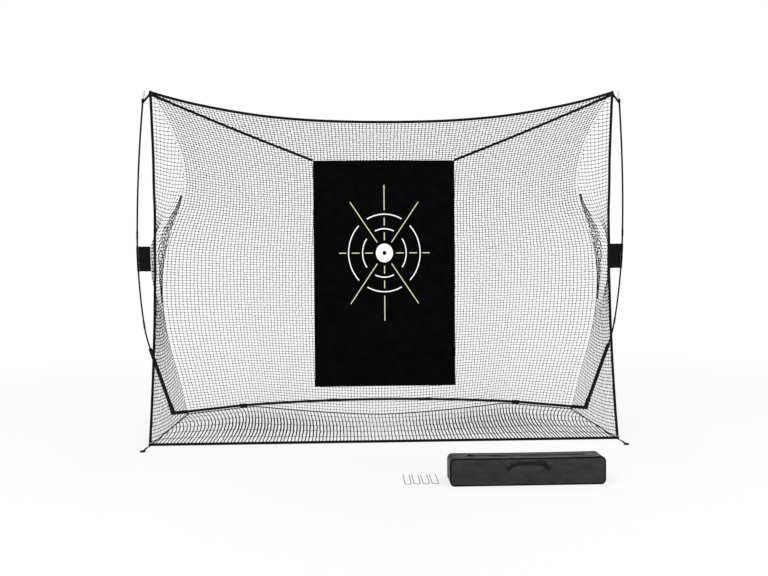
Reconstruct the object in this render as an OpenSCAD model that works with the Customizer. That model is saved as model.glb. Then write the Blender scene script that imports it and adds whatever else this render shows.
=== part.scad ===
// Golf practice net: a bowed frame of steel base tubes and fibreglass poles that
// stretches a knotted net around a hanging target sheet. It lies in front with its
// ground stakes and its carry bag. The origin is on the floor, at the middle of the
// front edge of the net. +X is to the right, +Y to the back and +Z up.

/* [Net] */
// Distance between the two top corners
top_width = 3050; // [2400:10:3400]
// Distance between the two front floor corners
floor_width = 3120; // [2500:10:3400]
// Height of the top corners above the floor
corner_height = 2322; // [2000:1:2500]
// Drop of the middle of the top edge below its corners
top_sag = 195; // [60:5:300]
// Distance from each arm tube to the rear corner of the net that it holds
rear_tie = 55; // [45:1:80]
// Depth of the rear floor edge at its middle
rear_mid_depth = 985; // [800:5:1100]
// How far back the front side edges bow at half height
side_bow = 120; // [0:5:200]
// How far the side seams draw in towards the middle below the top corners
seam_draw = 90; // [0:5:150]
// Width of one net strand
strand_w = 9; // [5:0.5:14]
// Thickness of one net strand
strand_t = 3; // [2:0.5:4]
// Meshes across the back and the floor
net_columns = 12; // [6:1:16]
// Meshes down each of the three bands of the back
band_rows = 3; // [2:1:4]

/* [Webbing] */
// Width of the edge webbing
webbing_w = 18; // [12:1:30]
// Thickness of the edge webbing
webbing_t = 2; // [1.5:0.1:3]
// Diameter of the seam cords
cord_d = 6; // [4:0.5:8]

/* [Target] */
// Width of the target sheet
target_w = 950; // [600:10:1200]
// Height of the target sheet
target_h = 1520; // [900:10:1600]
// Thickness of the target sheet
target_t = 3; // [2:0.5:5]
// Height of the top edge of the target sheet
target_top = 1886; // [1700:1:1950]
// Depth at which the target sheet hangs
target_y = 80; // [50:5:120]

/* [Base] */
// Outer diameter of the base tubes
tube_d = 22; // [19:0.5:25]
// Wall of the base and socket tubes
tube_wall = 1.2; // [1:0.1:1.6]
// Distance of each hinge pin from the middle
hinge_x = 1180; // [1000:10:1220]
// Depth of the hinge pins
hinge_y = 1410; // [1380:5:1480]
// Depth of the middle of the base
base_back = 1640; // [1580:5:1760]
// Length of each half of the middle tube
centre_half = 405; // [300:5:450]
// Length of each arm from its hinge pin to the end of its tube
arm_length = 515; // [460:5:560]
// Turn of each arm forwards from the X axis
arm_angle = 32.3; // [28:0.1:36]
// Length of the sleeves that join the middle tube
sleeve_length = 110; // [80:5:140]
// Diameter of the hinge pins
pin_d = 8; // [6:0.5:10]

/* [Poles] */
// Outer diameter of the socket tubes
socket_d = 28; // [24:0.5:32]
// Length of the socket tubes
socket_length = 572; // [400:2:640]
// Turn of the socket tubes forwards from the X axis
socket_turn = 64.3; // [55:0.1:75]
// Rise of the socket tubes above the floor
socket_rise = 64.5; // [55:0.1:75]
// Diameter of the fibreglass poles
pole_d = 12; // [9:0.5:14]
// Depth of each pole in its socket tube
pole_seat = 240; // [150:5:300]
// Length of the lower bowed pole section
lower_length = 212; // [150:1:300]
// Bend of the lower section
lower_bend = 10.65; // [6:0.05:14]
// Length of the middle pole section
middle_length = 740; // [600:5:800]
// Bend of the middle section
middle_bend = 8.16; // [5:0.02:11]
// Length of the upper pole section
upper_length = 1011; // [900:1:1050]
// Bend of the upper section
upper_bend = 4.93; // [2:0.01:8]
// Length of each half of a ferrule
ferrule_half = 30; // [24:1:36]
// Length of the soft cap on each pole tip
cap_length = 55; // [35:1:70]

/* [Set pieces] */
// Length of the carry bag
bag_length = 834; // [700:2:900]
// Depth of the carry bag
bag_depth = 130; // [110:2:160]
// Height of the carry bag
bag_height = 150; // [120:2:160]
// Length of one ground stake
stake_length = 200; // [120:5:240]
// Distance between the legs of one stake
stake_gap = 34; // [24:1:40]
// Diameter of the stake wire
stake_wire = 4; // [3:0.5:6]

/* [Hidden] */
$fn = 48;

// Clearances: between flat pieces that lie together, and between curved pieces that turn
lay_gap = 0.5;
fit_gap = 0.1;
run_gap = 0.05;

black = [0.07, 0.07, 0.075];
steel_black = [0.09, 0.09, 0.1];
twine = [0.28, 0.29, 0.3];
zinc = [0.62, 0.63, 0.64];
glass_fibre = [0.12, 0.12, 0.13];
charcoal = [0.16, 0.16, 0.17];
pale = [0.85, 0.86, 0.84];

// The base lies on the floor on its clevises and end brackets
tube_z = 14;
tube_r = tube_d / 2;
bore_r = tube_r - tube_wall;
bracket_h = 2 * tube_z;
plate_t = 4;
tongue_h = bracket_h - 2 * plate_t - 2 * 0.3;
knuckle_r = 15;
web_start = 17;
web_end = 45;
spigot_length = 40;
spigot_r = bore_r - 0.4;

// Radius and centre of the arc of the base, through both hinges
base_sagitta = base_back - hinge_y;
base_r = (hinge_x * hinge_x + base_sagitta * base_sagitta) / (2 * base_sagitta);
base_centre_y = base_back - base_r;
hinge_angle = asin(hinge_x / base_r);
centre_angle = centre_half / base_r * 180 / PI;
tube_end_angle = hinge_angle - (web_end + 0.3) / base_r * 180 / PI;
sleeve_angle = sleeve_length / base_r * 180 / PI;
// The spigot of a clevis follows the bend of the tube
spigot_turn = (web_end + spigot_length / 2) / base_r * 180 / PI;
sleeve_r = tube_r + 2;
button_r = 4;
button_offset = 25;
button_angle = centre_angle + button_offset / base_r * 180 / PI;
button_x = base_r * sin(button_angle);
button_y = base_centre_y + base_r * cos(button_angle);
button_rise = 2.5;
flange_r = 6;
flange_z = 5.7;
flange_t = 1.5;
spring_t = 0.6;
spring_w = 8;
spring_l = 40;

// The arm runs straight from its hinge pin to its end bracket
arm_dir = [cos(arm_angle), -sin(arm_angle), 0];
hinge = [hinge_x, hinge_y, tube_z];
arm_end = hinge + arm_length * arm_dir;
neck_end = 30;
bracket_reach = 75;
bracket_back = 22;
bracket_r = tube_z;
elbow_r = socket_d / 2 + 3.5;
elbow_lift = 16;
elbow_sink = 12;
elbow = arm_end + bracket_reach * arm_dir + [0, 0, elbow_lift];
socket_sleeve = 62;
socket_start = 8;
socket_r = socket_d / 2;
bolt_d = 6;
bolt_at = 10;
socket_bolt_at = 46;

function unit(v) = v / norm(v);
function mix(a, b, t) = a + (b - a) * t;
function flip(v) = [-v.x, v.y, v.z];

// The pole bends in one plane, which holds the socket axis and the top corner
socket_dir = [
    cos(socket_rise) * cos(-socket_turn),
    cos(socket_rise) * sin(-socket_turn),
    sin(socket_rise)
];
mouth = elbow + (socket_start + socket_length) * socket_dir;
corner = [top_width / 2, 0, corner_height];
// Where the tip of the bare pole stands from the corner of the net
corner_reach = [52.94, 23.3, -19.81];
to_corner = corner + corner_reach - mouth;
bend_dir = unit(to_corner - (to_corner * socket_dir) * socket_dir);
plane_dir = cross(socket_dir, bend_dir);
pole_frame = [
    [socket_dir.x, bend_dir.x, plane_dir.x, mouth.x],
    [socket_dir.y, bend_dir.y, plane_dir.y, mouth.y],
    [socket_dir.z, bend_dir.z, plane_dir.z, mouth.z],
    [0, 0, 0, 1]
];
socket_frame = [
    [bend_dir.x, plane_dir.x, socket_dir.x, elbow.x],
    [bend_dir.y, plane_dir.y, socket_dir.y, elbow.y],
    [bend_dir.z, plane_dir.z, socket_dir.z, elbow.z],
    [0, 0, 0, 1]
];
// A place on the pole in its plane is [along, across, heading]
function along_arc(p, r, a) = [
    p.x + r * (sin(p.z + a) - sin(p.z)),
    p.y - r * (cos(p.z + a) - cos(p.z)),
    p.z + a
];
function section_r(length, bend) = length / bend * 180 / PI;
function pole_end(long, turn) = along_arc(
    along_arc(
        along_arc([0, 0, 0], section_r(long * lower_length, turn * lower_bend), turn * lower_bend),
        section_r(long * middle_length, turn * middle_bend), turn * middle_bend
    ),
    section_r(long * upper_length, turn * upper_bend), turn * upper_bend
);
// The bends and lengths of the poles are fitted to the corner of the net that they hold up
function heading(p) = atan2(p.y, p.x);
reach_place = [to_corner * socket_dir, to_corner * bend_dir];
bend_fit = heading(reach_place) / heading(pole_end(1, 1));
bent_end = pole_end(1, bend_fit);
length_fit = norm(reach_place) / norm([bent_end.x, bent_end.y]);
lower_turn = bend_fit * lower_bend;
middle_turn = bend_fit * middle_bend;
upper_turn = bend_fit * upper_bend;
middle_long = length_fit * middle_length;
upper_long = length_fit * upper_length;
lower_r = section_r(length_fit * lower_length, lower_turn);
middle_r = section_r(middle_long, middle_turn);
upper_r = section_r(upper_long, upper_turn);
pole_at_0 = [0, 0, 0];
pole_at_1 = along_arc(pole_at_0, lower_r, lower_turn);
pole_at_2 = along_arc(pole_at_1, middle_r, middle_turn);
pole_at_3 = along_arc(pole_at_2, upper_r, upper_turn);
function pole_point(p) = mouth + p.x * socket_dir + p.y * bend_dir;
function middle_place(s) = along_arc(pole_at_1, middle_r, s / middle_long * middle_turn);
function upper_place(s) = along_arc(pole_at_2, upper_r, s / upper_long * upper_turn);

// Fabric tab between the middle section and the side of the net, which it draws outwards
tab_length = 200;
tab_below_joint = 88;
tab_reach = 92;
tab_fade = 330;
tab_start = middle_long - tab_below_joint - tab_length;
tab_wrap_r = pole_d / 2 + 2.3;
tab_low = pole_point(middle_place(tab_start)).z;
tab_high = pole_point(middle_place(tab_start + tab_length)).z;
function tab_pole(z) = pole_point(middle_place(
    tab_start + tab_length * (z - tab_low) / (tab_high - tab_low)
));
// Loop that holds the net's top corner on the pole, under the cap
loop_length = 25;
loop_start = upper_long - 45;

// Edges of the net, for x to the right; t runs from the top corner to the floor
half_top = top_width / 2;
half_floor = floor_width / 2;
rear_strap_w = 20;
strap_at = hinge + (arm_length - bracket_back - rear_strap_w / 2 - 1) * arm_dir;
rear_corner = strap_at + rear_tie * [arm_dir.y, -arm_dir.x, 0];
half_rear = rear_corner.x;
rear_depth = rear_corner.y;
patch = 32;
patch_floor = webbing_w;
side_top = corner_height - webbing_w / 2 - 5;
side_foot = webbing_t + lay_gap + 0.3;
function side_edge(t) = [
    mix(half_top, half_floor, t),
    side_bow * 4 * t * (1 - t),
    mix(side_top, side_foot, t)
];
// The top edge hangs in a curve that steepens towards its corners
top_power = 2.4;
function top_edge_z(s) = corner_height - top_sag * (1 - pow(abs(s), top_power));
// The rear floor edge: drawn forwards in the middle, and along the arms at its ends
rear_spread = 900;
rear_rise = 335;
rear_blend = 30;
function rear_mid_y(x) = rear_mid_depth + rear_rise * pow(abs(x) / rear_spread, 1.5);
function rear_arm_y(x) = rear_depth + tan(arm_angle) * (half_rear - abs(x));
function rear_y(x) = -rear_blend * ln(exp(-rear_mid_y(x) / rear_blend)
    + exp(-rear_arm_y(x) / rear_blend));
// The rear floor edge runs straight between the columns of the floor net
floor_inset = webbing_w / 2 + lay_gap;
rear_step = 2 * (half_rear - floor_inset) / net_columns;
function rear_knot(x) = min(net_columns / 2 - 1, floor(abs(x) / rear_step + 0.001));
function rear_slope(k) = (rear_y((k + 1) * rear_step) - rear_y(k * rear_step)) / rear_step;
function rear_chord(x) = let (k = rear_knot(x))
    rear_y(k * rear_step) + rear_slope(k) * (abs(x) - k * rear_step);
// Slanting edges keep their clearance square to the edge
function rear_slant(k) = let (m = max(
    abs(rear_slope(min(net_columns / 2 - 1, k))), abs(rear_slope(max(0, k - 1)))
)) sqrt(1 + m * m);
// The back bellies between its top edge and its floor edge
belly = [620, 1450];
function seam_x(v) = mix(half_top, half_rear, v)
    - seam_draw * sin(360 * v) * (v < 0.5 ? 1 : 0.5);
function curve(a, b, c, v) = a * (1 - v) * (1 - v) + 2 * b * v * (1 - v) + c * v * v;
// The top edge of the back laps behind the webbing, and its foot stands on the rear cord
back_foot = cord_d + lay_gap + 0.5;
back_head = 4;
back_front = webbing_t / 2 + strand_t / 2 + lay_gap;
function back_point(s, v) = let (x = s * (seam_x(v) - (cord_d / 2 + lay_gap))) [
    x,
    curve(back_front, belly.x, rear_y(s * half_rear) - 1, v),
    curve(top_edge_z(s) - back_head, belly.y, back_foot, v)
];
function seam_curve(v) = [
    seam_x(v),
    curve(0, belly.x, rear_depth, v),
    curve(corner_height - back_head, belly.y, cord_d / 2 + webbing_t, v)
];
// A seam runs straight between the rows of the back
seam_rows = 3 * band_rows;
seam_top = 0.05;
seam_foot = 0.985;
function seam_knot(v) = min(seam_rows - 1, floor(v * seam_rows + 0.001));
function seam_way(k) = seam_curve((k + 1) / seam_rows) - seam_curve(k / seam_rows);
function seam_point(v) = let (k = seam_knot(v))
    seam_curve(k / seam_rows) + (v * seam_rows - k) * seam_way(k);
seam_knots = [for (k = [1:seam_rows - 1]) k / seam_rows];
seam_stops = concat([seam_top], seam_knots, [seam_foot]);
function seam_stop(z) = let (k = max([
    for (k = [0:seam_rows - 1]) if (seam_curve(k / seam_rows).z >= z) k
])) (k + (seam_curve(k / seam_rows).z - z) / -seam_way(k).z) / seam_rows;
tab_stops = [seam_stop(tab_high), seam_stop(tab_low)];
// The rows of the side nets stop short of the ends of the seam, and meet the tab's ends
side_stops = concat(
    [seam_top + 0.03],
    [for (v = seam_knots) if (v < tab_stops[0]) v],
    [tab_stops[0]],
    [for (v = seam_knots) if (v > tab_stops[0] && v < tab_stops[1]) v],
    [tab_stops[1]],
    [for (v = seam_knots) if (v > tab_stops[1]) v],
    [seam_foot - 0.01]
);
side_heights = [for (v = side_stops) max(seam_point(v).z, side_foot + 2)];
side_turns = [for (z = side_heights) (side_top - z) / (side_top - side_foot)];
edge_stops = concat([0], side_turns, [1]);
function edge_knot(t) = max([
    for (k = [0:len(edge_stops) - 2]) if (t >= edge_stops[k] - 0.0001) k
]);
function side_line(t) = let (
    k = edge_knot(t),
    a = edge_stops[k],
    b = edge_stops[k + 1]
) mix(side_edge(a), side_edge(b), (t - a) / (b - a));

// ---- shared shapes ----

module mirror_x() {
    children();
    mirror([1, 0, 0]) children();
}

module left() {
    mirror([1, 0, 0]) children();
}

// A tube bent along the base arc from angle a to angle b, to the right of the middle
module base_arc(a, b, outer, inner) {
    translate([0, base_centre_y, tube_z])
        rotate([0, 0, 90 - b])
            rotate_extrude(angle = b - a, $fn = 96)
                translate([base_r, 0])
                    difference() {
                        circle(outer);
                        if (inner > 0) circle(inner);
                    }
}

// A piece of the pole's path that starts at place p and bends by a around radius r
module pole_arc(p, r, a, outer, inner = 0) {
    multmatrix(pole_frame)
        translate([p.x, p.y, 0])
            rotate([0, 0, p.z])
                translate([0, r, 0])
                    rotate([0, 0, -90])
                        rotate_extrude(angle = a, $fn = 64)
                            translate([r, 0])
                                difference() {
                                    circle(outer);
                                    if (inner > 0) circle(inner);
                                }
}

// Places on an axis that runs from point p along direction d
module along(p, d) {
    azimuth = atan2(d.y, d.x);
    slope = acos(d.z / norm(d));
    translate(p) rotate([0, slope, azimuth]) children();
}

function two_faces(q) = [[q[0], q[1], q[2]], [q[0], q[2], q[3]]];

// A ribbon or cord swept along points, with its section given by two unit vectors a point
module swept(points, wide, thick, section) {
    n = len(points);
    k = len(section);
    verts = [
        for (i = [0:n - 1]) for (c = section)
            points[i] + c.x * wide[i] + c.y * thick[i]
    ];
    walls = [
        for (i = [0:n - 2]) for (j = [0:k - 1])
            each two_faces([
                i * k + j, i * k + (j + 1) % k,
                (i + 1) * k + (j + 1) % k, (i + 1) * k + j
            ])
    ];
    first_cap = [for (j = [1:k - 2]) [0, j + 1, j]];
    last = (n - 1) * k;
    last_cap = [for (j = [1:k - 2]) [last, last + j, last + j + 1]];
    polyhedron(verts, concat(walls, first_cap, last_cap));
}

function tangents(points) = [
    for (i = [0:len(points) - 1])
        unit(points[min(i + 1, len(points) - 1)] - points[max(i - 1, 0)])
];

// A flat ribbon whose face looks along the vector face
module ribbon(points, face, w = webbing_w, t = webbing_t) {
    dirs = tangents(points);
    wide = [for (d = dirs) unit(cross(face, d))];
    thick = [for (i = [0:len(dirs) - 1]) unit(cross(dirs[i], wide[i]))];
    section = [[-w / 2, -t / 2], [-w / 2, t / 2], [w / 2, t / 2], [w / 2, -t / 2]];
    swept(points, wide, thick, section);
}

// A round cord of eight sides along points
module cord(points, up, d = cord_d) {
    dirs = tangents(points);
    wide = [for (v = dirs) unit(cross(up, v))];
    thick = [for (i = [0:len(dirs) - 1]) unit(cross(dirs[i], wide[i]))];
    section = [for (k = [0:7]) [d / 2 * cos(-45 * k), d / 2 * sin(-45 * k)]];
    swept(points, wide, thick, section);
}

// A net over a grid of points: each mesh is a cell with a hole, strand_w between holes.
// Columns run along the first direction, and the normal is first x second.
module netting(grid, t = strand_t) {
    rows = len(grid) - 1;
    cols = len(grid[0]) - 1;
    count = (rows + 1) * (cols + 1);
    normals = [
        for (i = [0:rows]) for (j = [0:cols])
            let (
                du = grid[i][min(j + 1, cols)] - grid[i][max(j - 1, 0)],
                dv = grid[min(i + 1, rows)][j] - grid[max(i - 1, 0)][j]
            )
            unit(cross(du, dv)) * t / 2
    ];
    flat = [for (row = grid) for (p = row) p];
    function at(i, j) = i * (cols + 1) + j;
    function inset(a, b) = min(strand_w / 2 / norm(b - a), 0.38);
    holes = [
        for (i = [0:rows - 1]) for (j = [0:cols - 1])
            let (
                ids = [at(i, j), at(i, j + 1), at(i + 1, j + 1), at(i + 1, j)],
                a = flat[ids[0]], b = flat[ids[1]], c = flat[ids[2]], d = flat[ids[3]],
                fu = inset(a, b), gu = inset(d, c), fv = inset(a, d), gv = inset(b, c),
                n = (normals[ids[0]] + normals[ids[1]] + normals[ids[2]] + normals[ids[3]]) / 4
            )
            [
                [for (q = [
                    mix(mix(a, b, fu), mix(d, c, gu), fv),
                    mix(mix(a, b, 1 - fu), mix(d, c, 1 - gu), gv),
                    mix(mix(a, b, 1 - fu), mix(d, c, 1 - gu), 1 - gv),
                    mix(mix(a, b, fu), mix(d, c, gu), 1 - fv)
                ]) q],
                n
            ]
    ];
    verts = concat(
        [for (k = [0:count - 1]) flat[k] + normals[k]],
        [for (k = [0:count - 1]) flat[k] - normals[k]],
        [for (h = holes) each concat([for (q = h[0]) q + h[1]], [for (q = h[0]) q - h[1]])]
    );
    cell_faces = [
        for (i = [0:rows - 1]) for (j = [0:cols - 1])
            let (
                ids = [at(i, j), at(i, j + 1), at(i + 1, j + 1), at(i + 1, j)],
                base = 2 * count + (i * cols + j) * 8
            )
            for (k = [0:3])
                let (
                    m = (k + 1) % 4,
                    p = ids[k], q = ids[m],
                    hp = base + k, hq = base + m
                )
                each concat(
                    two_faces([p, hp, hq, q]),
                    two_faces([q + count, hq + 4, hp + 4, p + count]),
                    two_faces([hq, hp, hp + 4, hq + 4])
                )
    ];
    rim = concat(
        [for (j = [0:cols - 1]) [at(0, j), at(0, j + 1)]],
        [for (i = [0:rows - 1]) [at(i, cols), at(i + 1, cols)]],
        [for (j = [cols:-1:1]) [at(rows, j), at(rows, j - 1)]],
        [for (i = [rows:-1:1]) [at(i, 0), at(i - 1, 0)]]
    );
    rim_faces = [
        for (e = rim) each two_faces([e[0], e[1], e[1] + count, e[0] + count])
    ];
    polyhedron(verts, concat(cell_faces, rim_faces));
}

// A plain sheet over a grid of points, laid out as a net's grid is
module sheet(grid, t) {
    rows = len(grid) - 1;
    cols = len(grid[0]) - 1;
    count = (rows + 1) * (cols + 1);
    flat = [for (row = grid) for (p = row) p];
    normals = [
        for (i = [0:rows]) for (j = [0:cols])
            let (
                du = grid[i][min(j + 1, cols)] - grid[i][max(j - 1, 0)],
                dv = grid[min(i + 1, rows)][j] - grid[max(i - 1, 0)][j]
            )
            unit(cross(du, dv)) * t / 2
    ];
    function at(i, j) = i * (cols + 1) + j;
    verts = concat(
        [for (k = [0:count - 1]) flat[k] + normals[k]],
        [for (k = [0:count - 1]) flat[k] - normals[k]]
    );
    rim = concat(
        [for (j = [0:cols - 1]) [at(0, j), at(0, j + 1)]],
        [for (i = [0:rows - 1]) [at(i, cols), at(i + 1, cols)]],
        [for (j = [cols:-1:1]) [at(rows, j), at(rows, j - 1)]],
        [for (i = [rows:-1:1]) [at(i, 0), at(i - 1, 0)]]
    );
    faces = concat(
        [
            for (i = [0:rows - 1]) for (j = [0:cols - 1])
                let (a = at(i, j), b = at(i, j + 1), c = at(i + 1, j + 1), d = at(i + 1, j))
                each concat(
                    two_faces([a, d, c, b]),
                    two_faces([b + count, c + count, d + count, a + count])
                )
        ],
        [for (e = rim) each two_faces([e[0], e[1], e[1] + count, e[0] + count])]
    );
    polyhedron(verts, faces);
}

// ---- base ----

module base_centre_tube() {
    color(steel_black)
        mirror_x() base_arc(0, centre_angle - 0.01, tube_r, bore_r);
}

module base_right_tube() {
    color(steel_black)
        difference() {
            base_arc(centre_angle + 0.01, tube_end_angle, tube_r, bore_r);
            button_hole();
        }
}

module button_hole() {
    translate([button_x, button_y, tube_z])
        cylinder(h = sleeve_r + 5, r = button_r + 0.2);
}

module base_joint_sleeves() {
    color(steel_black)
        mirror_x()
            difference() {
                base_arc(centre_angle - sleeve_angle / 2, centre_angle + sleeve_angle / 2,
                    sleeve_r, tube_r + fit_gap);
                button_hole();
            }
}

module right_snap_button() {
    top = sleeve_r + button_rise;
    color(zinc)
        translate([button_x, button_y, tube_z]) {
            translate([0, 0, flange_z]) cylinder(h = top - 1 - flange_z, r = button_r);
            translate([0, 0, flange_z]) cylinder(h = flange_t, r = flange_r);
            translate([0, 0, top - 1]) cylinder(h = 1, r1 = button_r, r2 = button_r - 1);
        }
}

// A strip bent to a V: one leg lies on the bottom of the tube, the other lifts the button
module right_button_spring() {
    foot = -bore_r + 1.25;
    top = flange_z - 0.1;
    color(zinc)
        translate([button_x, button_y, tube_z])
            rotate([0, 0, -button_angle])
                rotate([90, 0, 0])
                    linear_extrude(spring_w, center = true)
                        polygon([
                            [-6, foot], [spring_l, foot], [spring_l + 2, foot + 2],
                            [-6, top], [-6, top - spring_t], [spring_l, foot + 1.6],
                            [spring_l - 1, foot + spring_t], [-6, foot + spring_t]
                        ]);
}

module clevis() {
    difference() {
        union() {
            for (z = [0, bracket_h - plate_t])
                translate([0, 0, z])
                    linear_extrude(plate_t)
                        union() {
                            circle(knuckle_r);
                            translate([0, -13]) square([web_end, 26]);
                        }
            translate([web_start, -13, plate_t / 2])
                cube([web_end - web_start, 26, bracket_h - plate_t]);
            translate([web_end - 1, pow(web_end - 1, 2) / (2 * base_r), tube_z])
                rotate([0, 90, spigot_turn]) cylinder(h = spigot_length + 1, r = spigot_r);
        }
        translate([0, 0, -1]) cylinder(h = bracket_h + 2, d = pin_d + 2 * run_gap);
    }
}

module hinge_clevises() {
    color(steel_black)
        mirror_x()
            translate([hinge.x, hinge.y, 0])
                rotate([0, 0, 180 - hinge_angle]) clevis();
}

module hinge_pins() {
    color(zinc)
        mirror_x()
            translate([hinge.x, hinge.y, 0]) {
                translate([0, 0, 1]) cylinder(h = bracket_h - 0.5, d = pin_d);
                translate([0, 0, bracket_h]) cylinder(h = 2, d = pin_d + 6);
                translate([0, 0, bracket_h + 2])
                    cylinder(h = 1.2, d1 = pin_d + 6, d2 = pin_d + 1);
            }
}

// ---- arm, to the right ----

module right_hinge_tongue() {
    color(steel_black)
        translate([hinge.x, hinge.y, plate_t + 0.3])
            rotate([0, 0, -arm_angle])
                difference() {
                    union() {
                        cylinder(h = tongue_h, r = knuckle_r);
                        translate([0, -10, 0]) cube([neck_end, 20, tongue_h]);
                        translate([neck_end - 1, 0, tongue_h / 2])
                            rotate([0, 90, 0]) cylinder(h = spigot_length + 1, r = bore_r - fit_gap);
                    }
                    translate([0, 0, -1]) cylinder(h = tongue_h + 2, d = pin_d + 2 * run_gap);
                }
}

module arm_bolt_hole(extra) {
    translate(arm_end - bolt_at * arm_dir + [0, 0, -tube_z - 1])
        cylinder(h = bracket_h + 10, d = bolt_d + extra);
}

module socket_bolt_hole(extra) {
    multmatrix(socket_frame)
        translate([0, 0, socket_bolt_at])
            rotate([90, 0, 0]) cylinder(h = 3 * elbow_r, d = bolt_d + extra, center = true);
}

module right_arm_tube() {
    start = neck_end + 0.3;
    color(steel_black)
        difference() {
            along(hinge + start * arm_dir, arm_dir)
                difference() {
                    cylinder(h = arm_length - start, r = tube_r);
                    translate([0, 0, -1]) cylinder(h = arm_length - start + 2, r = bore_r);
                }
            arm_bolt_hole(2 * fit_gap);
        }
}

// Moulded elbow: one sleeve takes the arm tube, the other the socket tube
module right_end_bracket() {
    color(black)
        difference() {
            union() {
                along(arm_end - bracket_back * arm_dir, arm_dir) {
                    cylinder(h = bracket_back + bracket_reach + 10, r = bracket_r);
                    translate([0, 0, bracket_back + bracket_reach + 10])
                        cylinder(h = 4, r1 = bracket_r, r2 = bracket_r - 4);
                }
                along(elbow - elbow_sink * socket_dir, socket_dir) {
                    cylinder(h = socket_sleeve + elbow_sink, r = elbow_r);
                    translate([0, 0, socket_sleeve + elbow_sink - 8])
                        cylinder(h = 9, r = elbow_r + 1.5);
                }
            }
            along(arm_end - (bracket_back + 1) * arm_dir, arm_dir)
                cylinder(h = bracket_back + 1.3, r = tube_r + fit_gap);
            along(elbow + (socket_start - 0.3) * socket_dir, socket_dir)
                cylinder(h = socket_sleeve, r = socket_r + fit_gap);
            arm_bolt_hole(2 * fit_gap);
            socket_bolt_hole(2 * fit_gap);
        }
}

module right_bracket_bolts() {
    color(zinc) {
        translate(arm_end - bolt_at * arm_dir + [0, 0, -tube_z + 1]) {
            cylinder(h = bracket_h - 0.5, d = bolt_d);
            translate([0, 0, bracket_h - 0.9]) cylinder(h = 3, d = bolt_d + 5);
        }
        multmatrix(socket_frame)
            translate([0, 0, socket_bolt_at])
                rotate([90, 0, 0]) {
                    cylinder(h = 2 * elbow_r + 1, d = bolt_d, center = true);
                    for (s = [-1, 1])
                        translate([0, 0, s * (elbow_r + 1.6)])
                            cylinder(h = 3, d = bolt_d + 5, center = true);
                }
    }
}

module right_socket_tube() {
    color(steel_black)
        difference() {
            along(elbow + socket_start * socket_dir, socket_dir)
                difference() {
                    cylinder(h = socket_length, r = socket_r);
                    translate([0, 0, -1])
                        cylinder(h = socket_length + 2, r = socket_r - tube_wall);
                }
            socket_bolt_hole(2 * fit_gap);
        }
}

// A flanged bush at the mouth centres the pole, and a cup at the bottom carries it
bush_length = 50;
cup_length = 40;
cup_floor = 12;
module right_socket_bushes() {
    outer = socket_r - tube_wall - fit_gap;
    color(black) {
        along(mouth - bush_length * socket_dir, socket_dir)
            difference() {
                union() {
                    cylinder(h = bush_length, r = outer);
                    translate([0, 0, bush_length + 0.2]) cylinder(h = 2.5, r = socket_r + 0.5);
                    cylinder(h = bush_length + 1, r = outer - 1);
                }
                translate([0, 0, -1]) cylinder(h = bush_length + 6, d = pole_d + 2 * fit_gap);
            }
        along(mouth - (pole_seat + cup_floor) * socket_dir, socket_dir)
            difference() {
                cylinder(h = cup_length, r = outer);
                translate([0, 0, cup_floor - 0.3])
                    cylinder(h = cup_length, d = pole_d + 2 * fit_gap);
            }
    }
}

module right_pole_lower() {
    color(glass_fibre) {
        along(mouth - pole_seat * socket_dir, socket_dir) cylinder(h = pole_seat, d = pole_d);
        pole_arc(pole_at_0, lower_r, lower_turn - 0.01, pole_d / 2);
    }
}

module right_pole_middle() {
    color(glass_fibre) pole_arc(pole_at_1, middle_r, middle_turn - 0.002, pole_d / 2);
}

module right_pole_upper() {
    color(glass_fibre) pole_arc(pole_at_2, upper_r, upper_turn, pole_d / 2);
}

// Each ferrule follows the bend of the middle section, and has room for its neighbour's
ferrule_play = 0.4;
module right_pole_ferrules() {
    inner = pole_d / 2 + ferrule_play;
    turn = ferrule_half / middle_r * 180 / PI;
    color(zinc)
        for (joint = [pole_at_1, pole_at_2])
            pole_arc(along_arc(joint, middle_r, -turn), middle_r, 2 * turn, inner + 1, inner);
}

// A soft cap with a tapered nose sits over the last of the pole
cap_over = 14;
cap_nose = 6;
module right_pole_cap() {
    cap_r = pole_d / 2 + 3;
    tip = pole_point(pole_at_3);
    dir = cos(pole_at_3.z) * socket_dir + sin(pole_at_3.z) * bend_dir;
    body = cap_length - cap_nose;
    color(pale)
        along(tip - cap_over * dir, dir)
            difference() {
                union() {
                    cylinder(h = body, r = cap_r);
                    translate([0, 0, body])
                        cylinder(h = cap_nose, r1 = cap_r, r2 = cap_r - 4);
                }
                translate([0, 0, -1]) cylinder(h = cap_over + 1.3, d = pole_d + 4 * fit_gap);
            }
}

// The place where the tab holds the side net, at height z
function tab_way(z) = unit(seam_point(seam_stop(z)) - tab_pole(z));
function tab_hold(z) = tab_pole(z) + tab_reach * tab_way(z);
tab_gap = 1.2;

module right_pole_tab() {
    turn = tab_length / middle_r * 180 / PI;
    grid = [
        for (v = side_stops)
            if (v >= tab_stops[0] && v <= tab_stops[1])
                let (z = seam_point(v).z, way = tab_way(z))
                [
                    tab_pole(z) + (tab_wrap_r + 0.3) * way,
                    tab_pole(z) + (tab_reach - strand_t / 2 - tab_gap) * way
                ]
    ];
    color(black) {
        pole_arc(middle_place(tab_start), middle_r, turn, tab_wrap_r, pole_d / 2 + 0.3);
        sheet(grid, webbing_t);
    }
}

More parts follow.
